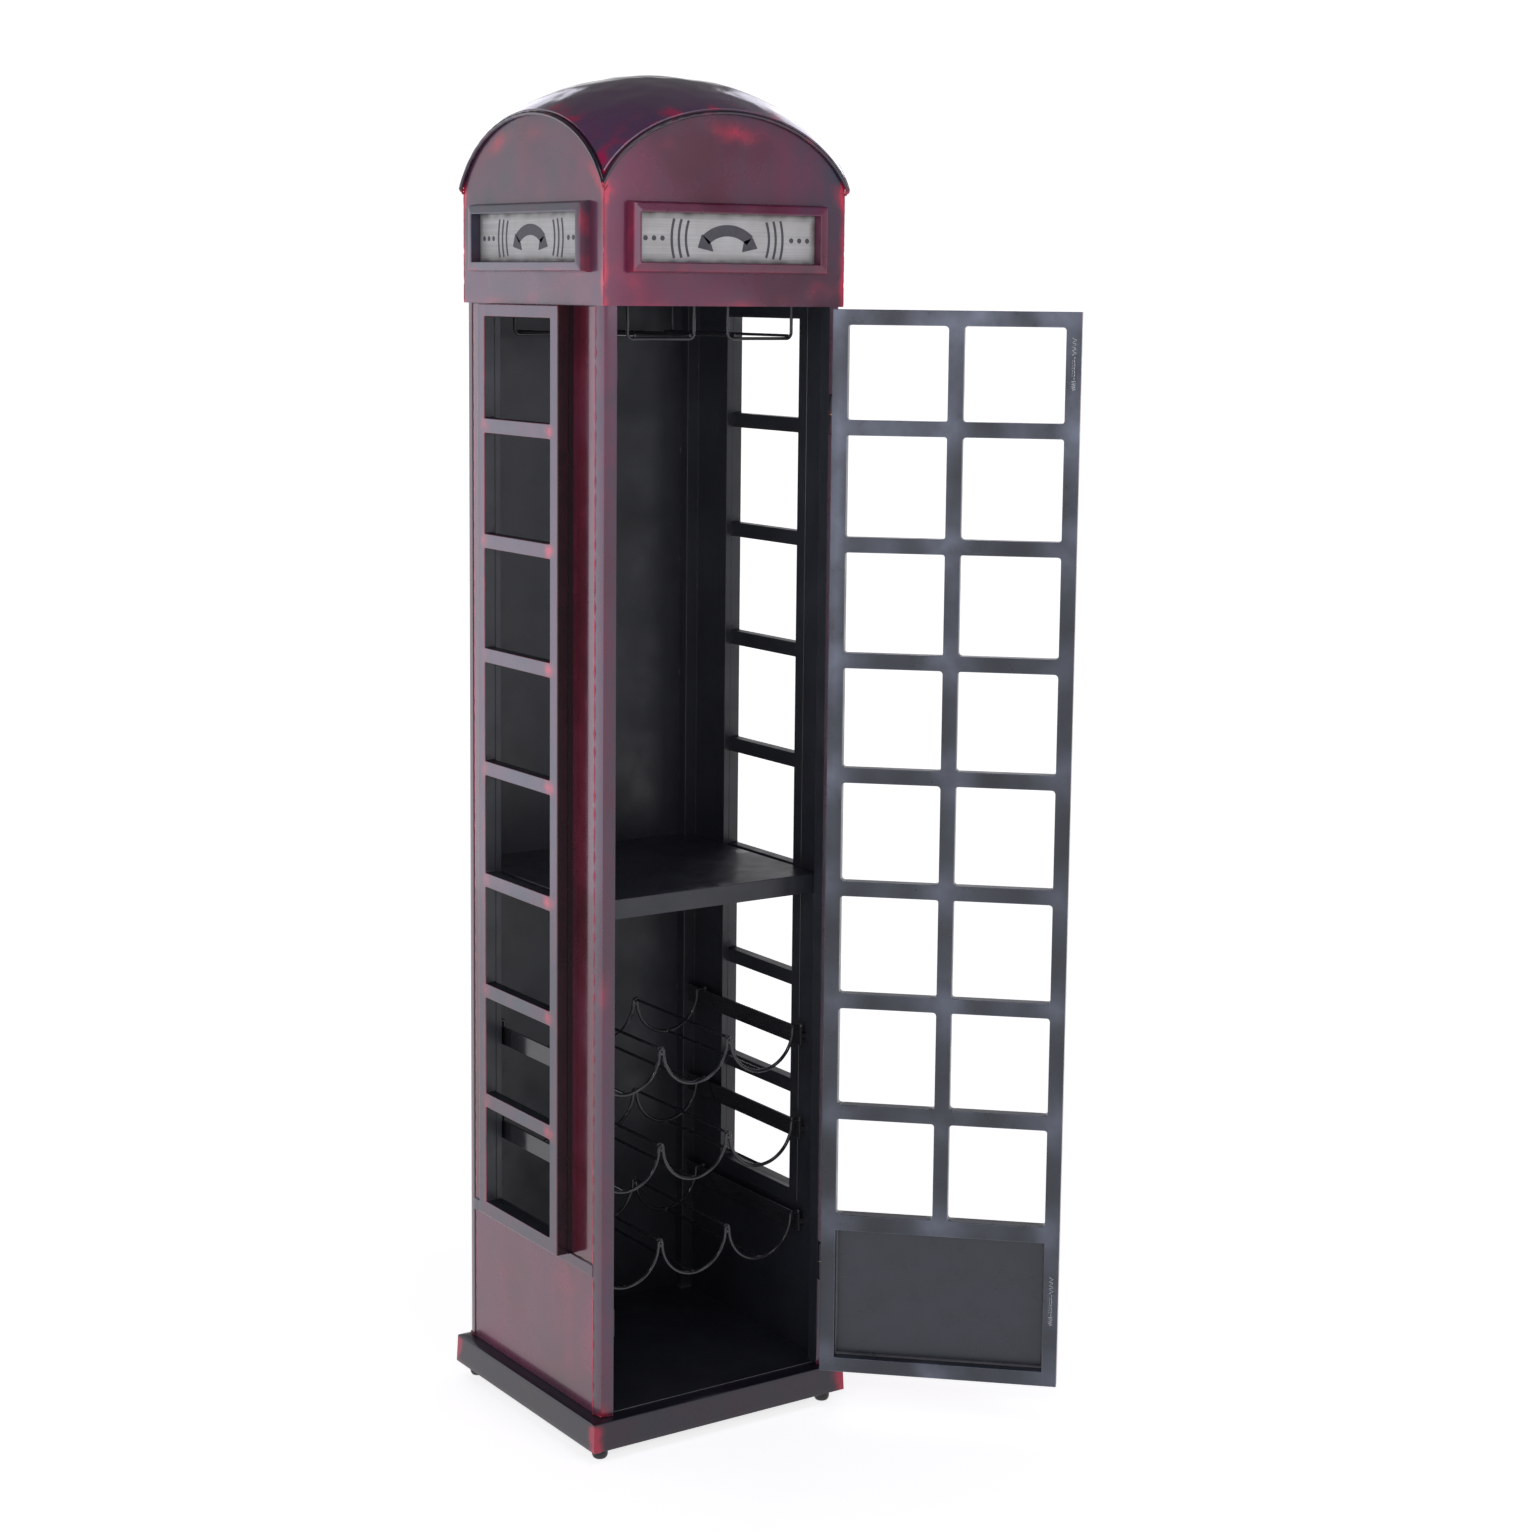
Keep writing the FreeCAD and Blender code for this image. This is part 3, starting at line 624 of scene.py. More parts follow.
def window_paint(p):
    """Red spots where the bars are welded to the stiles, and a pink tint along the stiles."""
    spot = max(near(p.z, z, 17) for z in joints) * near(abs(p.y), clear - 2, 24)
    spot *= 0.75 + 0.5 * rough((p.y * 40, p.z, 0), 60, 3)
    top = near(p.z, WIN_TOP, 40) * (0.25 + 0.4 * rough(p, 30, 2))
    stile = 0.30 * near(p.y, clear + 4, 12) + 0.22 * near(p.y, -WIN_HALF + 2, 7)
    hot = max(0, spot * (1.15 if p.y < 0 else 0.6)) + max(0, top) * 0.5 + stile
    return hot, 0.1 * rough(p, 120, 1)


for side, s in (("right", 1), ("left", -1)):
    def at(u, w, depth, s=s):
        return (s * depth, u, w)

    def grille_pick(f, s=s):
        c, across = middle(f), abs(f.normal.y)
        # the window box's two ends, beside the posts, take the near-black lacquer: painted shade
        if across > 0.7 and abs(c.y) > clear + 1:
            return 2
        hidden = f.normal.x * s < -0.5 or (abs(c.y) < clear + 0.1 and f.normal.x * s < 0.3)
        return 1 if hidden else 0

    def surround_pick(f):
        c = middle(f)
        # the surround's ends take the near-black lacquer, painted shade; its bottom is red lacquer, the
        # rest charcoal
        return 2 if abs(c.y) > WIN_HALF - 1 else 0 if c.z < BELT_Z1 + 1 else 1

    bm = bmesh.new()
    lattice(bm, [-WIN_HALF, WIN_HALF], [BELT_Z1] + joints + [WIN_TOP],
            lambda i, j: (-clear, clear, *win_rows[j]), WIN_SPLIT, WIN_FACE, 1.8, at)
    soften(bm, 1.3, 3)
    cuts(bm, (Z, 9), (Y, 7))
    lacquered("window_grille_" + side, bm, ["window_" + side],
              [M_FRAME, M_INSIDE, M_PAINTED_SHADE], grille_pick, window_paint)
    bm = bmesh.new()
    lattice(bm, [-WIN_HALF, WIN_HALF], [BELT_Z1, WIN_TOP],
            lambda i, j: (-clear, clear, bottom_rail, PANE_TOP), WIN_BACK, WIN_SPLIT, 0.6, at)
    soften(bm, 0.5, 1, lambda e, s=s: all(v.co.x * s < WIN_BACK + 1 for v in e.verts))
    cuts(bm, (Z, 40))
    lacquered("window_surround_" + side, bm, (), [M_FRAME, M_INSIDE, M_PAINTED_SHADE], surround_pick)


# ---- side walls, back, posts
def panel_paint(p):
    """Red where the sheet meets the posts. Towards the front edge and along the bottom, above the
    plinth, the glaze is thinner and the red wear less: a deeper red that is painted shadow and a painted
    reflection of the dark plinth.
    """
    by_post = near(abs(p.y), CORNER, 5)
    # low and red make the deeper red band above the plinth and towards the front edge: painted shadow
    # and painted reflection of the plinth
    low = near(p.z, 62, 30)
    warm = 1.1 * by_post * (0.7 + 0.6 * rough(p, 35, 4)) + 0.10 + 0.16 * near(p.y, -110, 90) * (1 - low)
    red = 0.34 * near(p.y, -165, 75) + 0.30 * near(p.z, 60, 44)
    return max(0, warm) * (1 - 0.8 * low), 0.02 - red + 0.22 * rough(p, 70, 6)


def strip_paint(p):
    return max(0, 1.3 * near(abs(p.y), CORNER, 5) + 0.12 * rough(p, 90, 9) + 0.10), 0.0


for side, s in (("right", 1), ("left", -1)):
    bm = cad_copy("lower_panel_" + side)
    cuts(bm, (Y, 3), (Z, 12))
    shift(bm, lambda p: (
        0.7 * rough((0, p.y, p.z), 85, 2) * near(p.y, 0, 165) * near(p.z, 156, 94), 0, 0))
    lacquered("lower_wall_" + side, bm, ["lower_panel_" + side], [M_PANEL, M_INSIDE],
              outside((s, 0, 0)), panel_paint)

    bm = cad_copy("side_strips_" + side)
    cuts(bm, (Y, 2.5), (Z, 24))
    lacquered("wall_strips_" + side, bm, ["side_strips_" + side], [M_STRIP, M_INSIDE],
              outside((s, 0, 0)), strip_paint)

    bm = cad_copy("belt_rail_" + side)
    soften(bm, 0.7, 2)
    cuts(bm, (Y, 10))
    lacquered("belt_" + side, bm, ["belt_rail_" + side], [M_FRAME, M_INSIDE],
              lambda f, s=s: 1 if f.normal.x * s < -0.5 else 0,
              lambda p: (max(0, 0.3 * rough(p, 40, 3)), 0.0))

bm = cad_copy("back_panel")
cuts(bm, (X, 24), (Z, 24))
shift(bm, lambda p: (0, 0.9 * rough((p.x, 0, p.z), 150, 5) * near(p.x, 0, 168), 0))
lacquered("back_wall", bm, ["back_panel"], [M_PANEL, M_INSIDE], outside((0, 1, 0)),
          lambda p: (0.25 * near(abs(p.x), CORNER, 14), 0.12 + 0.3 * rough(p, 140, 8)))

post_profile = rounded([(CORNER, CORNER), (HALF, CORNER), (HALF, HALF), (CORNER, HALF)],
                       [0, 0, POST_R, 0], 6)
POST_RINGS = 110


def post_paint(p):
    """Red at the foot and in runs down the outer corner, where the glaze is also thinner."""
    arris = near(abs(p.x) - abs(p.y), 0, 8)
    foot = near(p.z, PLINTH_Z1, 26) * (0.9 + 0.6 * rough(p, 12, 1)) * (0.25 + 0.75 * arris)
    streak = max(0, rough((p.x * 2, p.y * 2, p.z / 9), 16, 5) - 0.15) * 1.1 * arris
    return foot + min(0.5, streak), -0.34 * arris - 0.22 * near(p.z, HEAD_Z, 800)


def post_pick(f):
    """Charcoal on the two faces that look inwards."""
    x, y = abs(middle(f).x), abs(middle(f).y)
    return 1 if max(x, y) < HALF - 0.5 and min(abs(x - CORNER), abs(y - CORNER)) < 0.4 else 0


for i, name in enumerate(("rear_right", "rear_left", "front_left", "front_right")):
    bm = bmesh.new()
    heights = [PLINTH_Z1 + (HEAD_Z - PLINTH_Z1) * k / POST_RINGS for k in range(POST_RINGS + 1)]
    loft(bm, [[(*p[:2], z) for p in post_profile] for z in heights])
    bm.transform(turn_z(90 * i))
    soften(bm, 0.9, 2, lambda e: abs(e.verts[0].co.z - e.verts[1].co.z) > 1, 40)
    lacquered("corner_post_" + name, bm, ["post_" + name], [M_FRAME, M_INSIDE],
              post_pick, post_paint, wear=0.2)

# ---- plinth, feet, floor pan
bm = bmesh.new()
wall = [(0, PLINTH_Z0), (0, PLINTH_Z1), (40, PLINTH_Z1), (40, PLINTH_Z1 - 2), (2, PLINTH_Z1 - 2),
        (2, PLINTH_Z0)]
sweep_rectangle(bm, rounded(wall, [0.7, 2.2, 0.6, 0.6, 0.8, 0.7], 3), -PLINTH_X, PLINTH_X,
                PLINTH_Y0, PLINTH_Y1, lambda x, y, z: (x, y, z))
cuts(bm, (X, 9), (Y, 9), (Z, 9))


def plinth_paint(p):
    """Red round the four corners: least on top, less on the sides than in front."""
    to_end = min(abs(p.y - PLINTH_Y0), abs(p.y - PLINTH_Y1))
    away = hypot(abs(abs(p.x) - PLINTH_X), to_end)
    top = 0.35 if p.z > PLINTH_Z1 - 2.5 else 0.0
    side = abs(p.x) > PLINTH_X - 0.3 and to_end > 2
    worn = near(away, 0, 24 + 8 * rough(p, 14, 6)) * (1.35 + 0.9 * rough(p, 12, 2))
    worn *= 0.3 if top else 0.6 if side else 1.0
    return max(0.0, worn), top + 0.1 * rough(p, 90, 4)


lacquered("plinth_ring", bm, ["plinth"], [M_PLINTH], None, plinth_paint, smooth=60)

bm = cad_copy("floor_pan")
soften(bm, 0.5, 2)
cuts(bm, (X, 16), (Y, 16))
shift(bm, lambda p: (
    0, 0, 0.35 * rough((p.x, p.y, 0), 90, 3) * near(p.x, 0, 150) * near(p.y, 0, 150)))
place("pan", bm, "cabinet", "interior", ["floor_pan"], [M_INSIDE, M_RUBBED],
      lambda f: 1 if middle(f).y < -180.4 else 0, lambda p: (0.15 * max(0, rough(p, 40, 2)), 0))

bm = bmesh.new()
foot = [(0.2, 0), (6, 0), (8.4, 0.9), (9.8, 2.6), (10.7, 4.6), (11, 7), (11, 11), (10.2, 12),
        (10.2, 13), (12.5, 13.6), (12.5, 17.2), (11.5, 18)]
for x in (-PLINTH_X + FOOT_IN, PLINTH_X - FOOT_IN):
    for y in (PLINTH_Y0 + FOOT_IN, PLINTH_Y1 - FOOT_IN):
        lathe(bm, foot, (x, y, 0))
        lathe(bm, [(4.2, 18), (4.2, 40), (3.4, 41)], (x, y, 0), 16)
        lathe(bm, [(8, 19), (8, 24), (7, 25)], (x, y, 0), 6)
place("glides", bm, "cabinet", "rubber", ["feet"], [M_RUBBER, M_STEEL],
      lambda f: 0 if middle(f).z < PLINTH_Z0 + 0.4 else 1)


# ---- head and roof
def head_paint(p, i):
    """Red wear, a painted red highlight at the top corners and the glaze's greyness on a head wall seen
    as the front one; i is the side it belongs to.
    """
    edge_line = near(abs(p.x), FACE, 7) * (0.9 + 0.6 * rough(p, 18, 3))
    height = ROOF_Z0 + ROOF_B * sqrt(max(0, 1 - (p.x ** 2 + p.y ** 2) / ROOF_A ** 2))
    arch = near(p.z, height - 30, 26) * max(0, rough(p, 55, 11 + i) + 0.1) * 0.8
    low = near(p.z, 1600, 60) * max(0, rough((p.x, p.y, p.z * 2), 60, 2 + i)) * 0.8
    # the glaze is heavier, so greyer, towards one upright edge and along the arch; on the left wall it
    # is heavier all over, a painted reflection of the light on that side
    shade = (0.24 * (p.x / FACE) * (1 if i == 0 else -0.6) + 0.26 * near(p.z, height, 45)
             + 0.16 * (i == 3))
    hem = near(p.z, HEAD_Z, 16) * max(0, rough(p, 70, 13 + i) + 0.15) * 0.9
    # tip: bright red at the top of each upright corner, where the roof's edges meet: red wear and a
    # painted red highlight
    tip = near(abs(p.x), FACE, 30) * near(p.z, 1712, 34) * (0.5 + 0.9 * rough(p, 9, 3))
    return edge_line + arch + low + hem + max(0, tip), shade + 0.12 * rough(p, 80, 4)


for i, name in enumerate(SIDES):
    bm = cad_copy("head_" + name, merged=False)
    bm.transform(turn_z(-90 * i))
    merge_flats(bm)
    cuts(bm, (X, 10), (Z, 10))
    shift(bm, lambda p, i=i: (0, 1.0 * rough((p.x, 40 * i, p.z), 110, 7 + i) * near(p.x, 0, 188), 0))
    turn = turn_z(90 * i)
    bm.transform(turn)
    lacquered("head_wall_" + name, bm, ["head_" + name], [M_HEAD, M_INSIDE],
              outside(turn.to_3x3() @ Vector((0, -1, 0))), turned(head_paint, turn, i))

bm = cad_copy("roof")
bmesh.ops.triangulate(bm, faces=[f for f in bm.faces if len(f.verts) > 4])


def dent(p):
    """Shallow dents along the dome's normal, fading out towards its edge."""
    away = Vector((p.x / ROOF_A ** 2, p.y / ROOF_A ** 2, (p.z - ROOF_Z0) / ROOF_B ** 2)).normalized()
    rim = min(1.0, (190.6 - max(abs(p.x), abs(p.y))) / 25)
    return away * (rim * (1.3 * rough(p, 55, 2) + 0.7 * rough(p, 24, 9) - 0.2))


def roof_paint(p):
    rim = near(max(abs(p.x), abs(p.y)), 190, 34)
    return rim * max(0, rough(p, 22, 5) + 0.10) * 1.9, 0.25 * rough(p, 90, 3)


def roof_pick(f):
    return 0 if f.normal.dot(middle(f) - Vector((0, 0, ROOF_Z0))) > 0 else 1


cuts(bm, (X, 11), (Y, 11))
shift(bm, dent)
lacquered("roof_shell", bm, ["roof"], [M_ROOF, M_INSIDE], roof_pick, roof_paint)

for i, name in enumerate(SIDES):
    bm = bmesh.new()
    a, b = ROOF_A - LIP_R, ROOF_B - LIP_R
    points = []
    for k in range(97):
        x = LIP_Y * (k / 48 - 1)
        points.append((x, -LIP_Y, ROOF_Z0 + b * sqrt(1 - (x * x + LIP_Y ** 2) / a ** 2)))
    tube_along(bm, points, lambda k: LIP_R * (1 + 0.05 * sin(k * 1.3)), 12)
    bm.transform(turn_z(90 * i))
    lacquered("rolled_edge_" + name, bm, ["roof_lip_" + name], [M_LIP], None,
              lambda p: (max(0, rough(p, 20, 4) - 0.05) * 0.9, 0.1), smooth=60)


# ---- sign boxes
def arc_band(cx, cy, r0, r1, a0, a1, steps=18):
    """Outline of a piece of a ring between two radii and two angles in degrees."""
    angles = [radians(a0 + (a1 - a0) * k / steps) for k in range(steps + 1)]
    return ([(cx + r1 * cos(a), cy + r1 * sin(a)) for a in angles]
            + [(cx + r0 * cos(a), cy + r0 * sin(a)) for a in angles[::-1]])


def handset_outlines():
    """A plain handset lying level, with three waves each side and a row of dots beyond them."""
    shapes = [arc_band(0, -44, 47, 62, 50, 130)]
    for s in (-1, 1):
        cup = [(s * 20, -20), (s * 24, -2), (s * 42, 8), (s * 50, -14)]
        cup = cup if s > 0 else cup[::-1]
        shapes.append([(p.x, p.y) for p in rounded([Vector(c) for c in cup], [3, 3, 5, 3], 5)])
        for k, r in enumerate((64, 75, 86)):
            mid = 0 if s > 0 else 180
            shapes.append(arc_band(0, -1, r, r + 3.6, mid - 21 + 2 * k, mid + 21 - 2 * k))
        for k in range(3):
            shapes.append(arc_band(s * (102 + 13 * k), -1, 0.05, 3.4, 0, 360, 20))
    return shapes


sign_profile = rounded([(0, 0), (0, SIGN_OUT), (SIGN_BAR, SIGN_OUT), (SIGN_BAR, 0)],
                       [0, 3.2, 2.0, 0], 4)


def sign_paint(p, i):
    """Red on the box's outer sides and in patches; i is the side it belongs to."""
    out = -FACE - p.y
    side = near(abs(p.x), SIGN_HALF, 6) * 0.9 + near(p.z, SIGN_Z0, 9) * 0.55
    patch = max(0, rough(p, 30, 6 + i)) * 0.9
    hot = side * (0.8 + 0.5 * rough(p, 15, 1)) * (0.5 + out / SIGN_OUT / 2) + patch * 0.4
    return hot, 0.02 if i == 0 else 0.1


def plate_paint(p, i):
    """Dirt that gathers along the plate's rim."""
    rim = max(near(abs(p.x), SIGN_HALF - SIGN_BAR, 10), near(p.z, SIGN_Z0 + SIGN_BAR, 8),
              near(p.z, SIGN_Z1 - SIGN_BAR, 9))
    return 0, rim * (0.75 + 0.5 * rough(p, 14, 3))


for i, name in ((0, "front"), (1, "right"), (3, "left")):
    turn = turn_z(90 * i)
    bm = bmesh.new()
    sweep_rectangle(bm, sign_profile, -SIGN_HALF, SIGN_HALF, SIGN_Z0, SIGN_Z1,
                    lambda x, z, out: (x, -FACE + 0.3 - out, z))
    cuts(bm, (X, 8), (Z, 6))
    bm.transform(turn)
    lacquered("sign_box_" + name, bm, ["sign_frame_" + name],
              [M_HEAD if i == 0 else M_FRAME], None, turned(sign_paint, turn, i), smooth=50)

    bm = cad_copy("sign_plate_" + name)
    bm.transform(turn.inverted())
    cuts(bm, (X, 5), (Z, 5))
    bm.transform(turn)
    place("sign_face_" + name, bm, "cabinet", "sign", ["sign_plate_" + name], [M_PLATE], None,
          turned(plate_paint, turn, i))

    bm = bmesh.new()
    zc = (SIGN_Z0 + SIGN_Z1) / 2
    for outline in handset_outlines():
        loft(bm, [[(x, -FACE - out, zc + z) for x, z in outline] for out in (0.9, 1.3)])
    bm.transform(turn)
    place("handset_figure_" + name, bm, "cabinet", "sign", (), [M_FIGURE])

# ---- shelf and racks
bm = cad_copy("shelf")
soften(bm, 0.9, 2, lambda e: min(v.co.z for v in e.verts) > SHELF_TOP - 0.1)
cuts(bm, (X, 24), (Y, 24))
shift(bm, lambda p: (
    0, 0, 0.5 * rough((p.x, p.y, 0), 120, 3) * near(p.x, 0, 170) * near(p.y, 10, 150)))
place("shelf_tray", bm, "cabinet", "interior", ["shelf"], [M_INSIDE], None,
      lambda p: (0.25 * max(0, rough(p, 60, 2)), 0))
bm = cad_copy("shelf_cleats")
soften(bm, 0.4, 1)
place("cleats", bm, "cabinet", "interior", ["shelf_cleats"], [M_INSIDE])

for tier, zc in zip(TIERS, RACK_Z):
    bm = cad_copy("rack_sides_" + tier)
    soften(bm, 0.5, 2, lambda e: e.calc_length() > 20)
    place("rack_rails_" + tier, bm, "cabinet", "wire", ["rack_sides_" + tier], [M_WIRE])
    bm = bmesh.new()
    for y in RACK_Y:
        for sx in (-0.5, 0.5):
            crest = (sx * PITCH, y + (4 if y < 0 else -4), zc + CREST_R + 0.5)
            blob(bm, crest, 3.1, sx)
            blob(bm, (crest[0] + 1.5, y, zc + CREST_R + 1.2), 2.5, sx + 2)
            blob(bm, (crest[0], y, zc - 3.0), 2.7, sx + 4)
        for sx in (-1, 0, 1):
            blob(bm, (sx * PITCH, y + (3 if y < 0 else -3), zc - CRADLE_R), 2.9, sx + 7)
        for sx in (-1, 1):
            blob(bm, (sx * RAIL_X, y, zc + CREST_R + 0.2), 3.2, sx + 9)
    place("rack_welds_" + tier, bm, "cabinet", "wire", (), [M_WELD_DARK], None, lambda p: (0.5, 0))

# ---- door
mid = (DOOR_X0 + DOOR_X1) / 2
xa, xb = DOOR_X0 + DOOR_BAR, DOOR_X1 - DOOR_BAR
panes, high = [], DOOR_Z1 - DOOR_BAR
for i in range(ROWS):
    low = high - (DOOR_TOP_PANE if i == 0 else DOOR_PANE)
    panes.append((low, high))
    high = low - DOOR_MUNTIN
panes.reverse()
lock_top = panes[0][0]
panel_top, panel_bottom = lock_top - DOOR_LOCK, DOOR_Z0 + DOOR_BAR
columns = [(xa, mid - DOOR_BAR / 2), (mid + DOOR_BAR / 2, xb)]
split = panel_top + DOOR_LOCK / 2
door_bars = [z - DOOR_MUNTIN / 2 for z, _ in panes[1:]]
door_crossings = door_bars + [split, DOOR_Z1 - 10, DOOR_Z0 + 10]


def door_at(u, w, depth):
    return (u, depth, w)


def door_rub_and_sheen(p):
    """Paler inner side, rubbed paint and a painted bluish sheen together: cloudy, more at the top, the
    crossings, the hinge side and the strikes.
    """
    if p.y < -180:
        return max(0, 0.35 * rough(p, 60, 3)), 0.0
    # top, crossing, hinge_side and cloud are a painted sheen, pale bluish where the bars catch the
    # light; free is the rub at the strikes
    top = near(p.z, DOOR_Z1, 520) * 0.30 + near(p.z, DOOR_Z1, 50) * 0.25
    across = min(abs(p.x - x) for x in (DOOR_X0 + 10, mid, DOOR_X1 - 10))
    along = min(abs(p.z - z) for z in door_crossings)
    crossing = near(hypot(across, along), 0, 60) * (0.34 + 0.4 * rough(p, 50, 8))
    hinge_side = 0.45 * near(p.x, DOOR_X1 - 8, 16) * near(p.z, 1300, 620)
    free = near(p.x, DOOR_X0 + 8, 12) * max(near(p.z, 1480, 60), 0.6 * near(p.z, CATCH_Z[0], 40)) * 0.5
    cloud = (0.20 + 1.5 * top) * (0.7 + 1.0 * rough((p.x, p.y, p.z / 3), 48, 2))
    return max(0, cloud + crossing + free + hinge_side), 0.0


def door_pick(f):
    """Red lacquer outside and round the rim, charcoal on the inner side and in the openings."""
    c, edgewise = middle(f), abs(f.normal.y) < 0.3
    rim = c.y < MUNTIN_Y + 0.2 or c.x < DOOR_X0 + 0.6 or c.x > DOOR_X1 - 0.6
    return 0 if f.normal.y < -0.3 or (edgewise and rim) else 1


bm = bmesh.new()
lattice(bm, [DOOR_X0, mid, DOOR_X1], [split] + door_bars + [DOOR_Z1],
        lambda i, j: (*columns[i], *panes[j]), MUNTIN_Y, DOOR_Y1, 4.2, door_at, split)
lattice(bm, [DOOR_X0, DOOR_X1], [DOOR_Z0, split], lambda i, j: (xa, xb, panel_bottom, panel_top),
        MUNTIN_Y, DOOR_Y1, 0.8, door_at, split)
cut(bm, (mid, 0, 0), (1, 0, 0))
bmesh.ops.remove_doubles(bm, verts=bm.verts, dist=0.01)
soften(bm, 1.2, 3)
cuts(bm, (Z, 10), (X, 10))
place("door_grille", bm, "door", "lacquer", ["door_frame", "door_muntins"], [M_FRAME, M_DOOR],
      door_pick, door_rub_and_sheen)
bm = bmesh.new()
lattice(bm, [DOOR_X0, DOOR_X1], [DOOR_Z0, split, DOOR_Z1],
        lambda i, j: (xa, xb, *((panel_bottom, panel_top), (lock_top, DOOR_Z1 - DOOR_BAR))[j]),
        DOOR_Y0, MUNTIN_Y, 0.8, door_at)
soften(bm, 0.8, 2, lambda e: all(v.co.y < DOOR_Y0 + 0.1 for v in e.verts))
cuts(bm, (Z, 12), (X, 12))
place("door_face_ring", bm, "door", "lacquer", (), [M_FRAME], None, door_rub_and_sheen)

bm = cad_copy("door_panel", door=True)
cuts(bm, (X, 12), (Z, 12))
shift(bm, lambda p: (0, 0.5 * rough((p.x, 0, p.z), 90, 4) * near(p.x, mid, 147) * near(p.z, 150, 68), 0))
place("door_lower_sheet", bm, "door", "lacquer", ["door_panel"], [M_PANEL, M_DOOR],
      outside((0, -1, 0)), lambda p: (0.1 if p.y > MUNTIN_Y else 0.4 * near(p.z, panel_bottom, 14), 0))
bm = bmesh.new()
sheet_y = DOOR_Y0 + 2.7
sweep_rectangle(bm, [(-0.2, -0.2), (2.6, -0.2), (2.0, 0.9), (0.8, 2.2), (-0.2, 2.7)], xa, xb,
                panel_bottom, panel_top, lambda x, z, out: (x, sheet_y + out, z))
cuts(bm, (X, 6), (Z, 6))
shift(bm, lambda p: (0.25 * rough(p, 13, 2), 0.25 * rough(p, 9, 4), 0.25 * rough(p, 11, 6)))
place("door_sheet_welds", bm, "door", "interior", (), [M_WELD_DARK], None, lambda p: (0.55, 0),
      smooth=60)

bm = cad_copy("door_handle", door=True, merged=False)
place("bow_handle", bm, "door", "handle", ["door_handle"], [M_WIRE], None,
      lambda p: (0.3 * near(p.y, -224, 8), 0))
bm = bmesh.new()
for z in HANDLE_Z:
    ring = [Vector((HANDLE_X + 5.2 * cos(t), DOOR_Y0 - 0.7, z + 5.2 * sin(t)))
            for t in circle(40) + [2 * pi]]
    tube_along(bm, ring, lambda k: 1.5 + 0.3 * sin(k * 1.9), 8)
place("handle_welds", bm, "door", "handle", (), [M_WELD], None, lambda p: (0.3, 0.2), smooth=60)

bm = cad_copy("strikes", door=True)
soften(bm, 0.35, 2)
cuts(bm, (Z, 4))
place("strike_plates", bm, "door", "strike", ["strikes"], [M_DOOR], None, lambda p: (0.35, 0))
bm = bmesh.new()
for z in CATCH_Z:
    # the scratches lie half sunk in the strike, so that they clear the catch when the door is shut
    y = DOOR_Y1 + STRIKE_T - 0.25
    for x, half, r in ((-158.3, 15.5, 0.55), (-155.6, 11.0, 0.42)):
        tube_along(bm, [(x + 0.4 * sin(k * 0.7), y, z + half * (k / 12 - 1)) for k in range(25)],
                   lambda k, r=r: r * (0.75 + 0.25 * sin(k * 1.7)), 6)
    for sign, reach in ((1, 24), (-1, 12)):
        tube_along(bm, [(-157.5 + 3.4 * sin(k * 1.9 + sign), DOOR_Y1 + 0.2 if k > 3 else y,
                         z + sign * (17 + reach * k / 14)) for k in range(15)],
                   lambda k: 0.42 + 0.2 * sin(k * 2.3), 6)
place("strike_scratches", bm, "door", "strike", (), [M_CHALK], smooth=60)

# ---- hinges
for name, node, body, end in (("hinge_lower_knuckles", "hinge_post_halves", "cabinet", -1),
                              ("hinge_upper_knuckles", "hinge_door_halves", "door", 1)):
    bm = cad_copy(node, door=body == "door")
    soften(bm, 0.5, 2, lambda e: e.calc_length() < 30)
    for z in HINGE_Z:
        tip = [(5.0, 0), (4.9, 0.9), (4.2, 1.9), (3.0, 2.6), (1.5, 3.0), (0.3, 3.1)]
        tip = [(r, end * h) for r, h in tip]
        lathe(bm, tip if end > 0 else tip[::-1], (*DOOR_AXIS, z + end * HINGE_HALF), 24)
    place(name, bm, body, "lacquer", [node], [M_PLINTH], None,
          lambda p: (max(0, 0.25 + rough(p, 14, 3)), 0.1), wear=0.5)
bm = cad_copy("hinge_washers", merged=False)
place("washers", bm, "cabinet", "washer", ["hinge_washers"], [M_BRASS])

# ---- catches and their screws
bm = cad_copy("catches")
soften(bm, 0.7, 2, lambda e: e.calc_length() > 8)
place("catch_bodies", bm, "cabinet", "plastic", ["catches"], [M_PLASTIC])
bm = bmesh.new()
for z in CATCH_Z:
    for dz in (-15, 15):
        # two half heads leave a slot between them, with a disc at its bottom
        for s in (-1, 1):
            half = [(3.1 * cos(radians(a)), 3.1 * sin(radians(a)))
                    for a in range(-80, 81, 16)]
            loft(bm, [[(SCREW_X + d, SCREW_Y + s * max(0.45, x * k), z + dz + y * k) for x, y in half]
                      for d, k in ((9.2, 1.0), (11.4, 1.0), (12.1, 0.8), (12.4, 0.45))])
        disc = [(SCREW_X + 10.2, SCREW_Y + 3.0 * cos(a), z + dz + 3.0 * sin(a))
                for a in circle(20)]
        loft(bm, [disc, [(x + 0.3, y, h) for x, y, h in disc]])
place("catch_screw_heads", bm, "cabinet", "screw", ["catch_screws"], [M_STEEL])

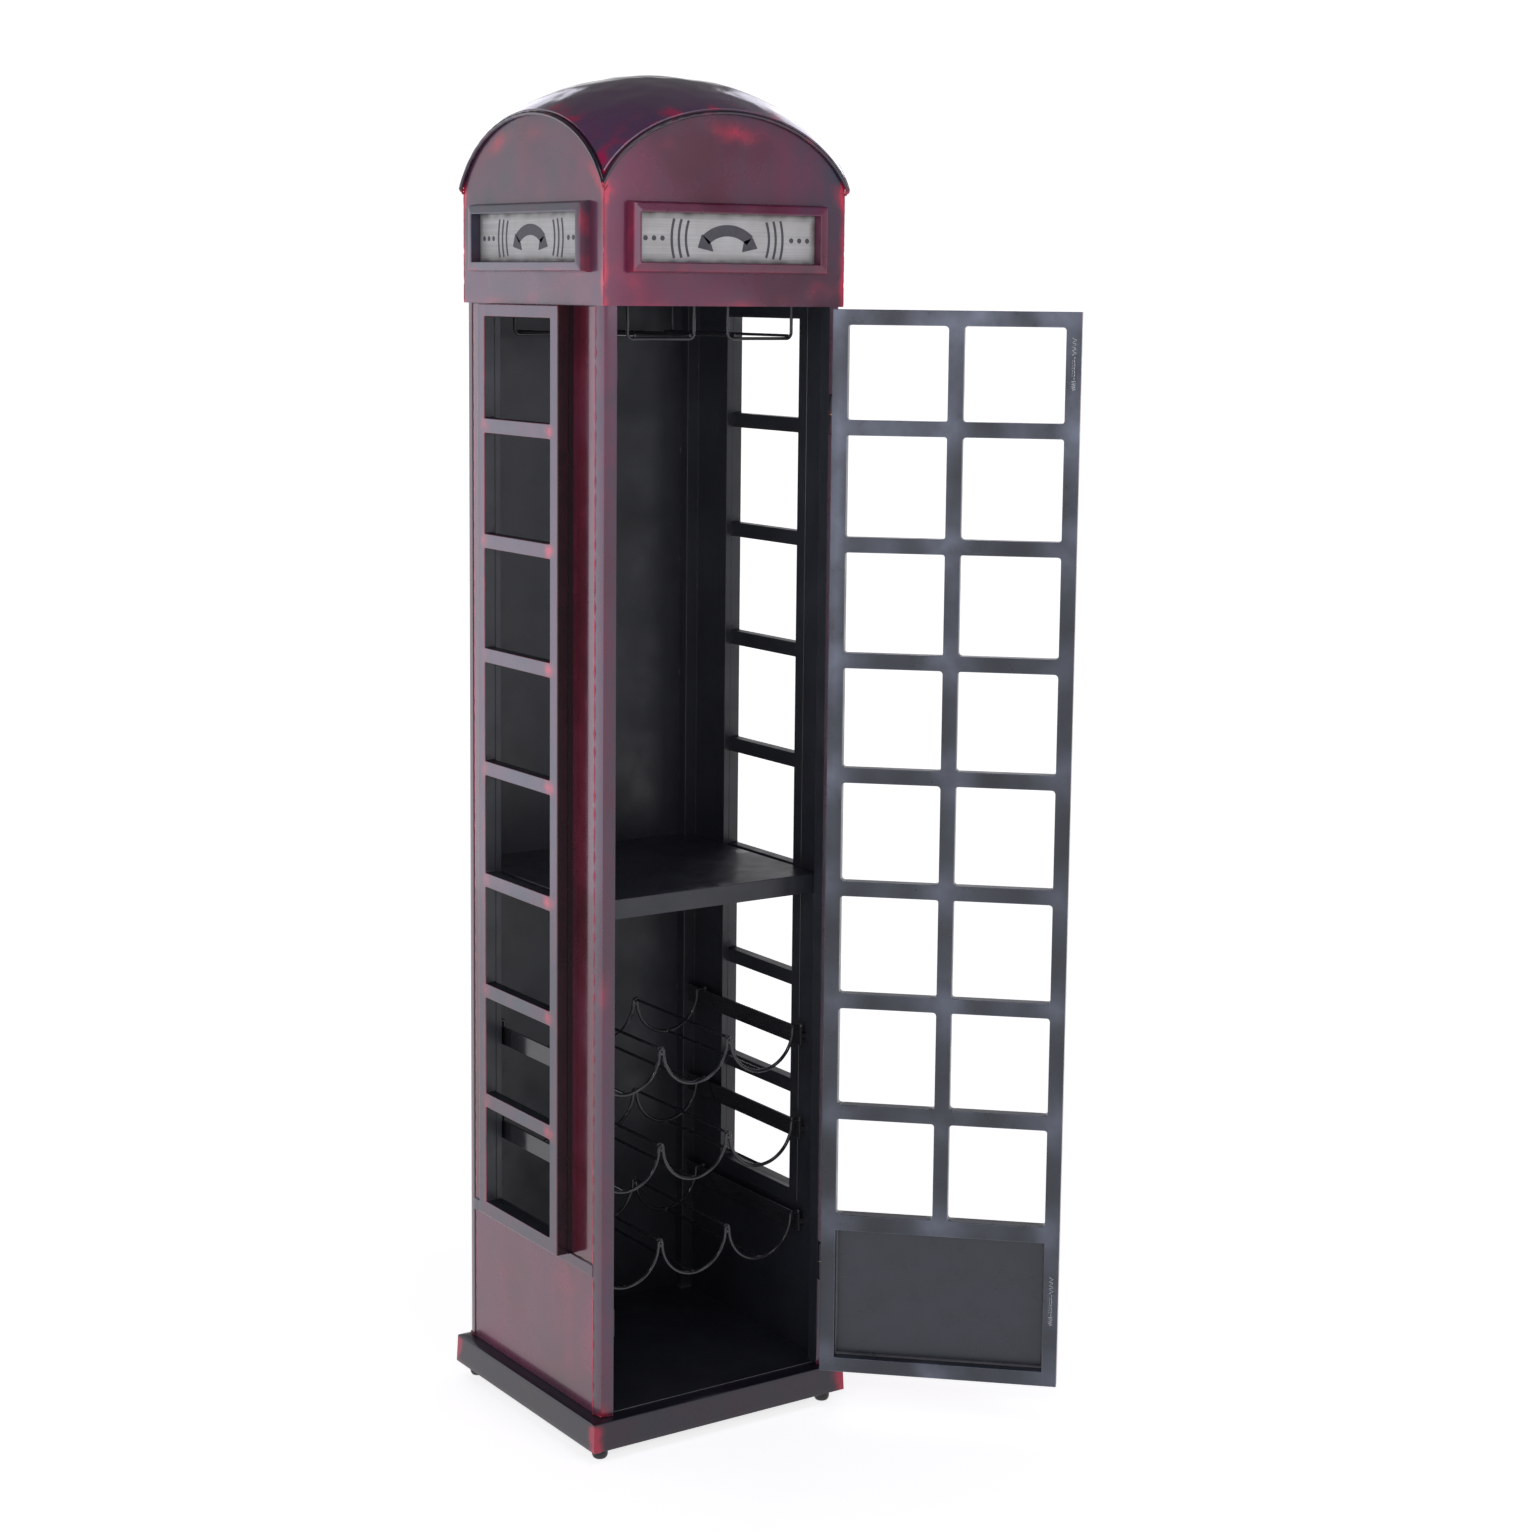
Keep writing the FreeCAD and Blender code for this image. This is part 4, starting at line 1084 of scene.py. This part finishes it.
# ---- welds and seams
bm = bmesh.new()
for k, (sx, sy) in enumerate(((-1, -1), (1, -1), (1, 1), (-1, 1))):
    # up the head's corners, then a drop of weld where the roof's edges meet
    e = FACE - 0.3
    for j, (z0, z1) in enumerate(((HEAD_Z, 1589), (1594, 1631), (1636, SEAM_TOP))):
        bead(bm, (sx * e, sy * e, z0 + 0.5), (sx * e, sy * e, z1), 0.95, 3 * k + j)
    bead(bm, (sx * (e - 6), sy * (e + 0.2), SEAM_TOP + 2),
         (sx * (e - 0.5), sy * (e + 0.2), SEAM_TOP - 5), 1.3, k)
    blob(bm, (sx * 192.6, sy * 192.6, SEAM_TOP + 3.5), 3.3, k + 0.5)
    blob(bm, (sx * 191.4, sy * 191.2, SEAM_TOP - 0.5), 2.0, k + 2.5)
    # round the foot of the post
    foot_line = post_profile[1:]
    for j, (a, b) in enumerate(zip(foot_line, foot_line[1:])):
        for t in ((0.1, 0.3, 0.5, 0.7, 0.9) if j in (0, len(foot_line) - 2) else (0.5,)):
            at = Vector(a[:2]).lerp(Vector(b[:2]), t)
            blob(bm, (sx * (at.x + 0.3), sy * (at.y + 0.3), PLINTH_Z1 + 0.6),
                 1.25 + 0.35 * sin(5 * j + 9 * t + k), j + k + t)
lacquered("outer_welds", bm, (), [M_WELD], None,
          lambda p: (0.55 + 0.5 * rough(p, 9, 2), 0.0), smooth=60)


def seam(a, b, radius=0.8):
    """A thin round line in the corner between two sheets, in the current mesh."""
    a, b = Vector(a), Vector(b)
    n = max(2, round((b - a).length / 12))
    tube_along(bm, [a.lerp(b, k / n) for k in range(n + 1)],
               lambda k: radius * (1 + 0.35 * sin(k * 2.7 + a.z)), 6)


# near-black lines along the joints below and above the belt, under the head and up the rear posts:
# painted shade in the recessed joints
bm = bmesh.new()
for s in (-1, 1):
    x = s * (WALL_OUT + 0.1)
    seam((x, -CORNER + 0.5, BELT_Z0 - 0.4), (x, CORNER - 0.5, BELT_Z0 - 0.4), 0.9)
    seam((x, CORNER - 0.4, PLINTH_Z1 + 2), (x, CORNER - 0.4, BELT_Z0 - 1))
    for y0, y1 in ((-CORNER + 0.5, -WIN_HALF - 0.3), (WIN_HALF + 0.3, CORNER - 0.5)):
        seam((x, y0, BELT_Z1 + 0.4), (x, y1, BELT_Z1 + 0.4), 0.9)
        seam((x, y0, HEAD_Z - 0.6), (x, y1, HEAD_Z - 0.6), 0.9)
    seam((x, CORNER - 0.4, BELT_Z1 + 1), (x, CORNER - 0.4, HEAD_Z - 1))
lacquered("seam_shade_lines", bm, (), [M_PAINTED_SHADE], smooth=60)
bm = bmesh.new()
for s in (-1, 1):
    x, y = s * (WALL_OUT + 0.2), -CORNER - 0.2
    for z0, z1 in ((BELT_Z1 + 1, HEAD_Z - 1), (PLINTH_Z1 + 3, BELT_Z0 - 1)):
        seam((x, y, z0), (x, y, z1), 1.5)
lacquered("red_seams", bm, (), [M_WELD], None, lambda p: (0.9 + 0.3 * rough(p, 40, 2), 0), smooth=60)

bm = bmesh.new()
for sx in (-1, 1):
    for sy in (-1, 1):
        # along the floor pan; the door passes over it in front
        x, y, z = sx * (CORNER - 0.3), sy * (CORNER - 0.3), GROUND + 0.6
        bead(bm, (sx * (HALF - 4), y, z), (x, y, z), 1.5, sx + 2 * sy)
        if sy > 0:
            bead(bm, (x, y, z), (x, HALF - 9, z), 1.5, sx - 2)
        # short beads up the posts
        x, y = sx * (HALF - 2.4), sy * (CORNER - 0.6)
        for k in range(9):
            z = 150 + 165 * k + 12 * sin(3 * k + sx)
            bead(bm, (x, y, z), (x, y, z + 7), 0.9, k)
            if sy > 0:
                rear = (sx * CORNER, HALF - 2.5)
                bead(bm, (*rear, z + 40), (*rear, z + 46), 0.9, k + 3)
place("inner_welds", bm, "cabinet", "interior", (), [M_WELD_DARK], None, lambda p: (0.5, 0), smooth=60)

# ---- CAD nodes that keep their shape
kept = {"ceiling": M_INSIDE}
for tier in TIERS:
    kept["rack_wires_" + tier] = kept["rack_runners_" + tier] = M_WIRE
for side in ("left", "right"):
    kept["stem_rack_" + side] = M_WIRE
for name, material in kept.items():
    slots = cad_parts[name].data.materials
    slots.clear()
    slots.append(material)

low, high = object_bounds()
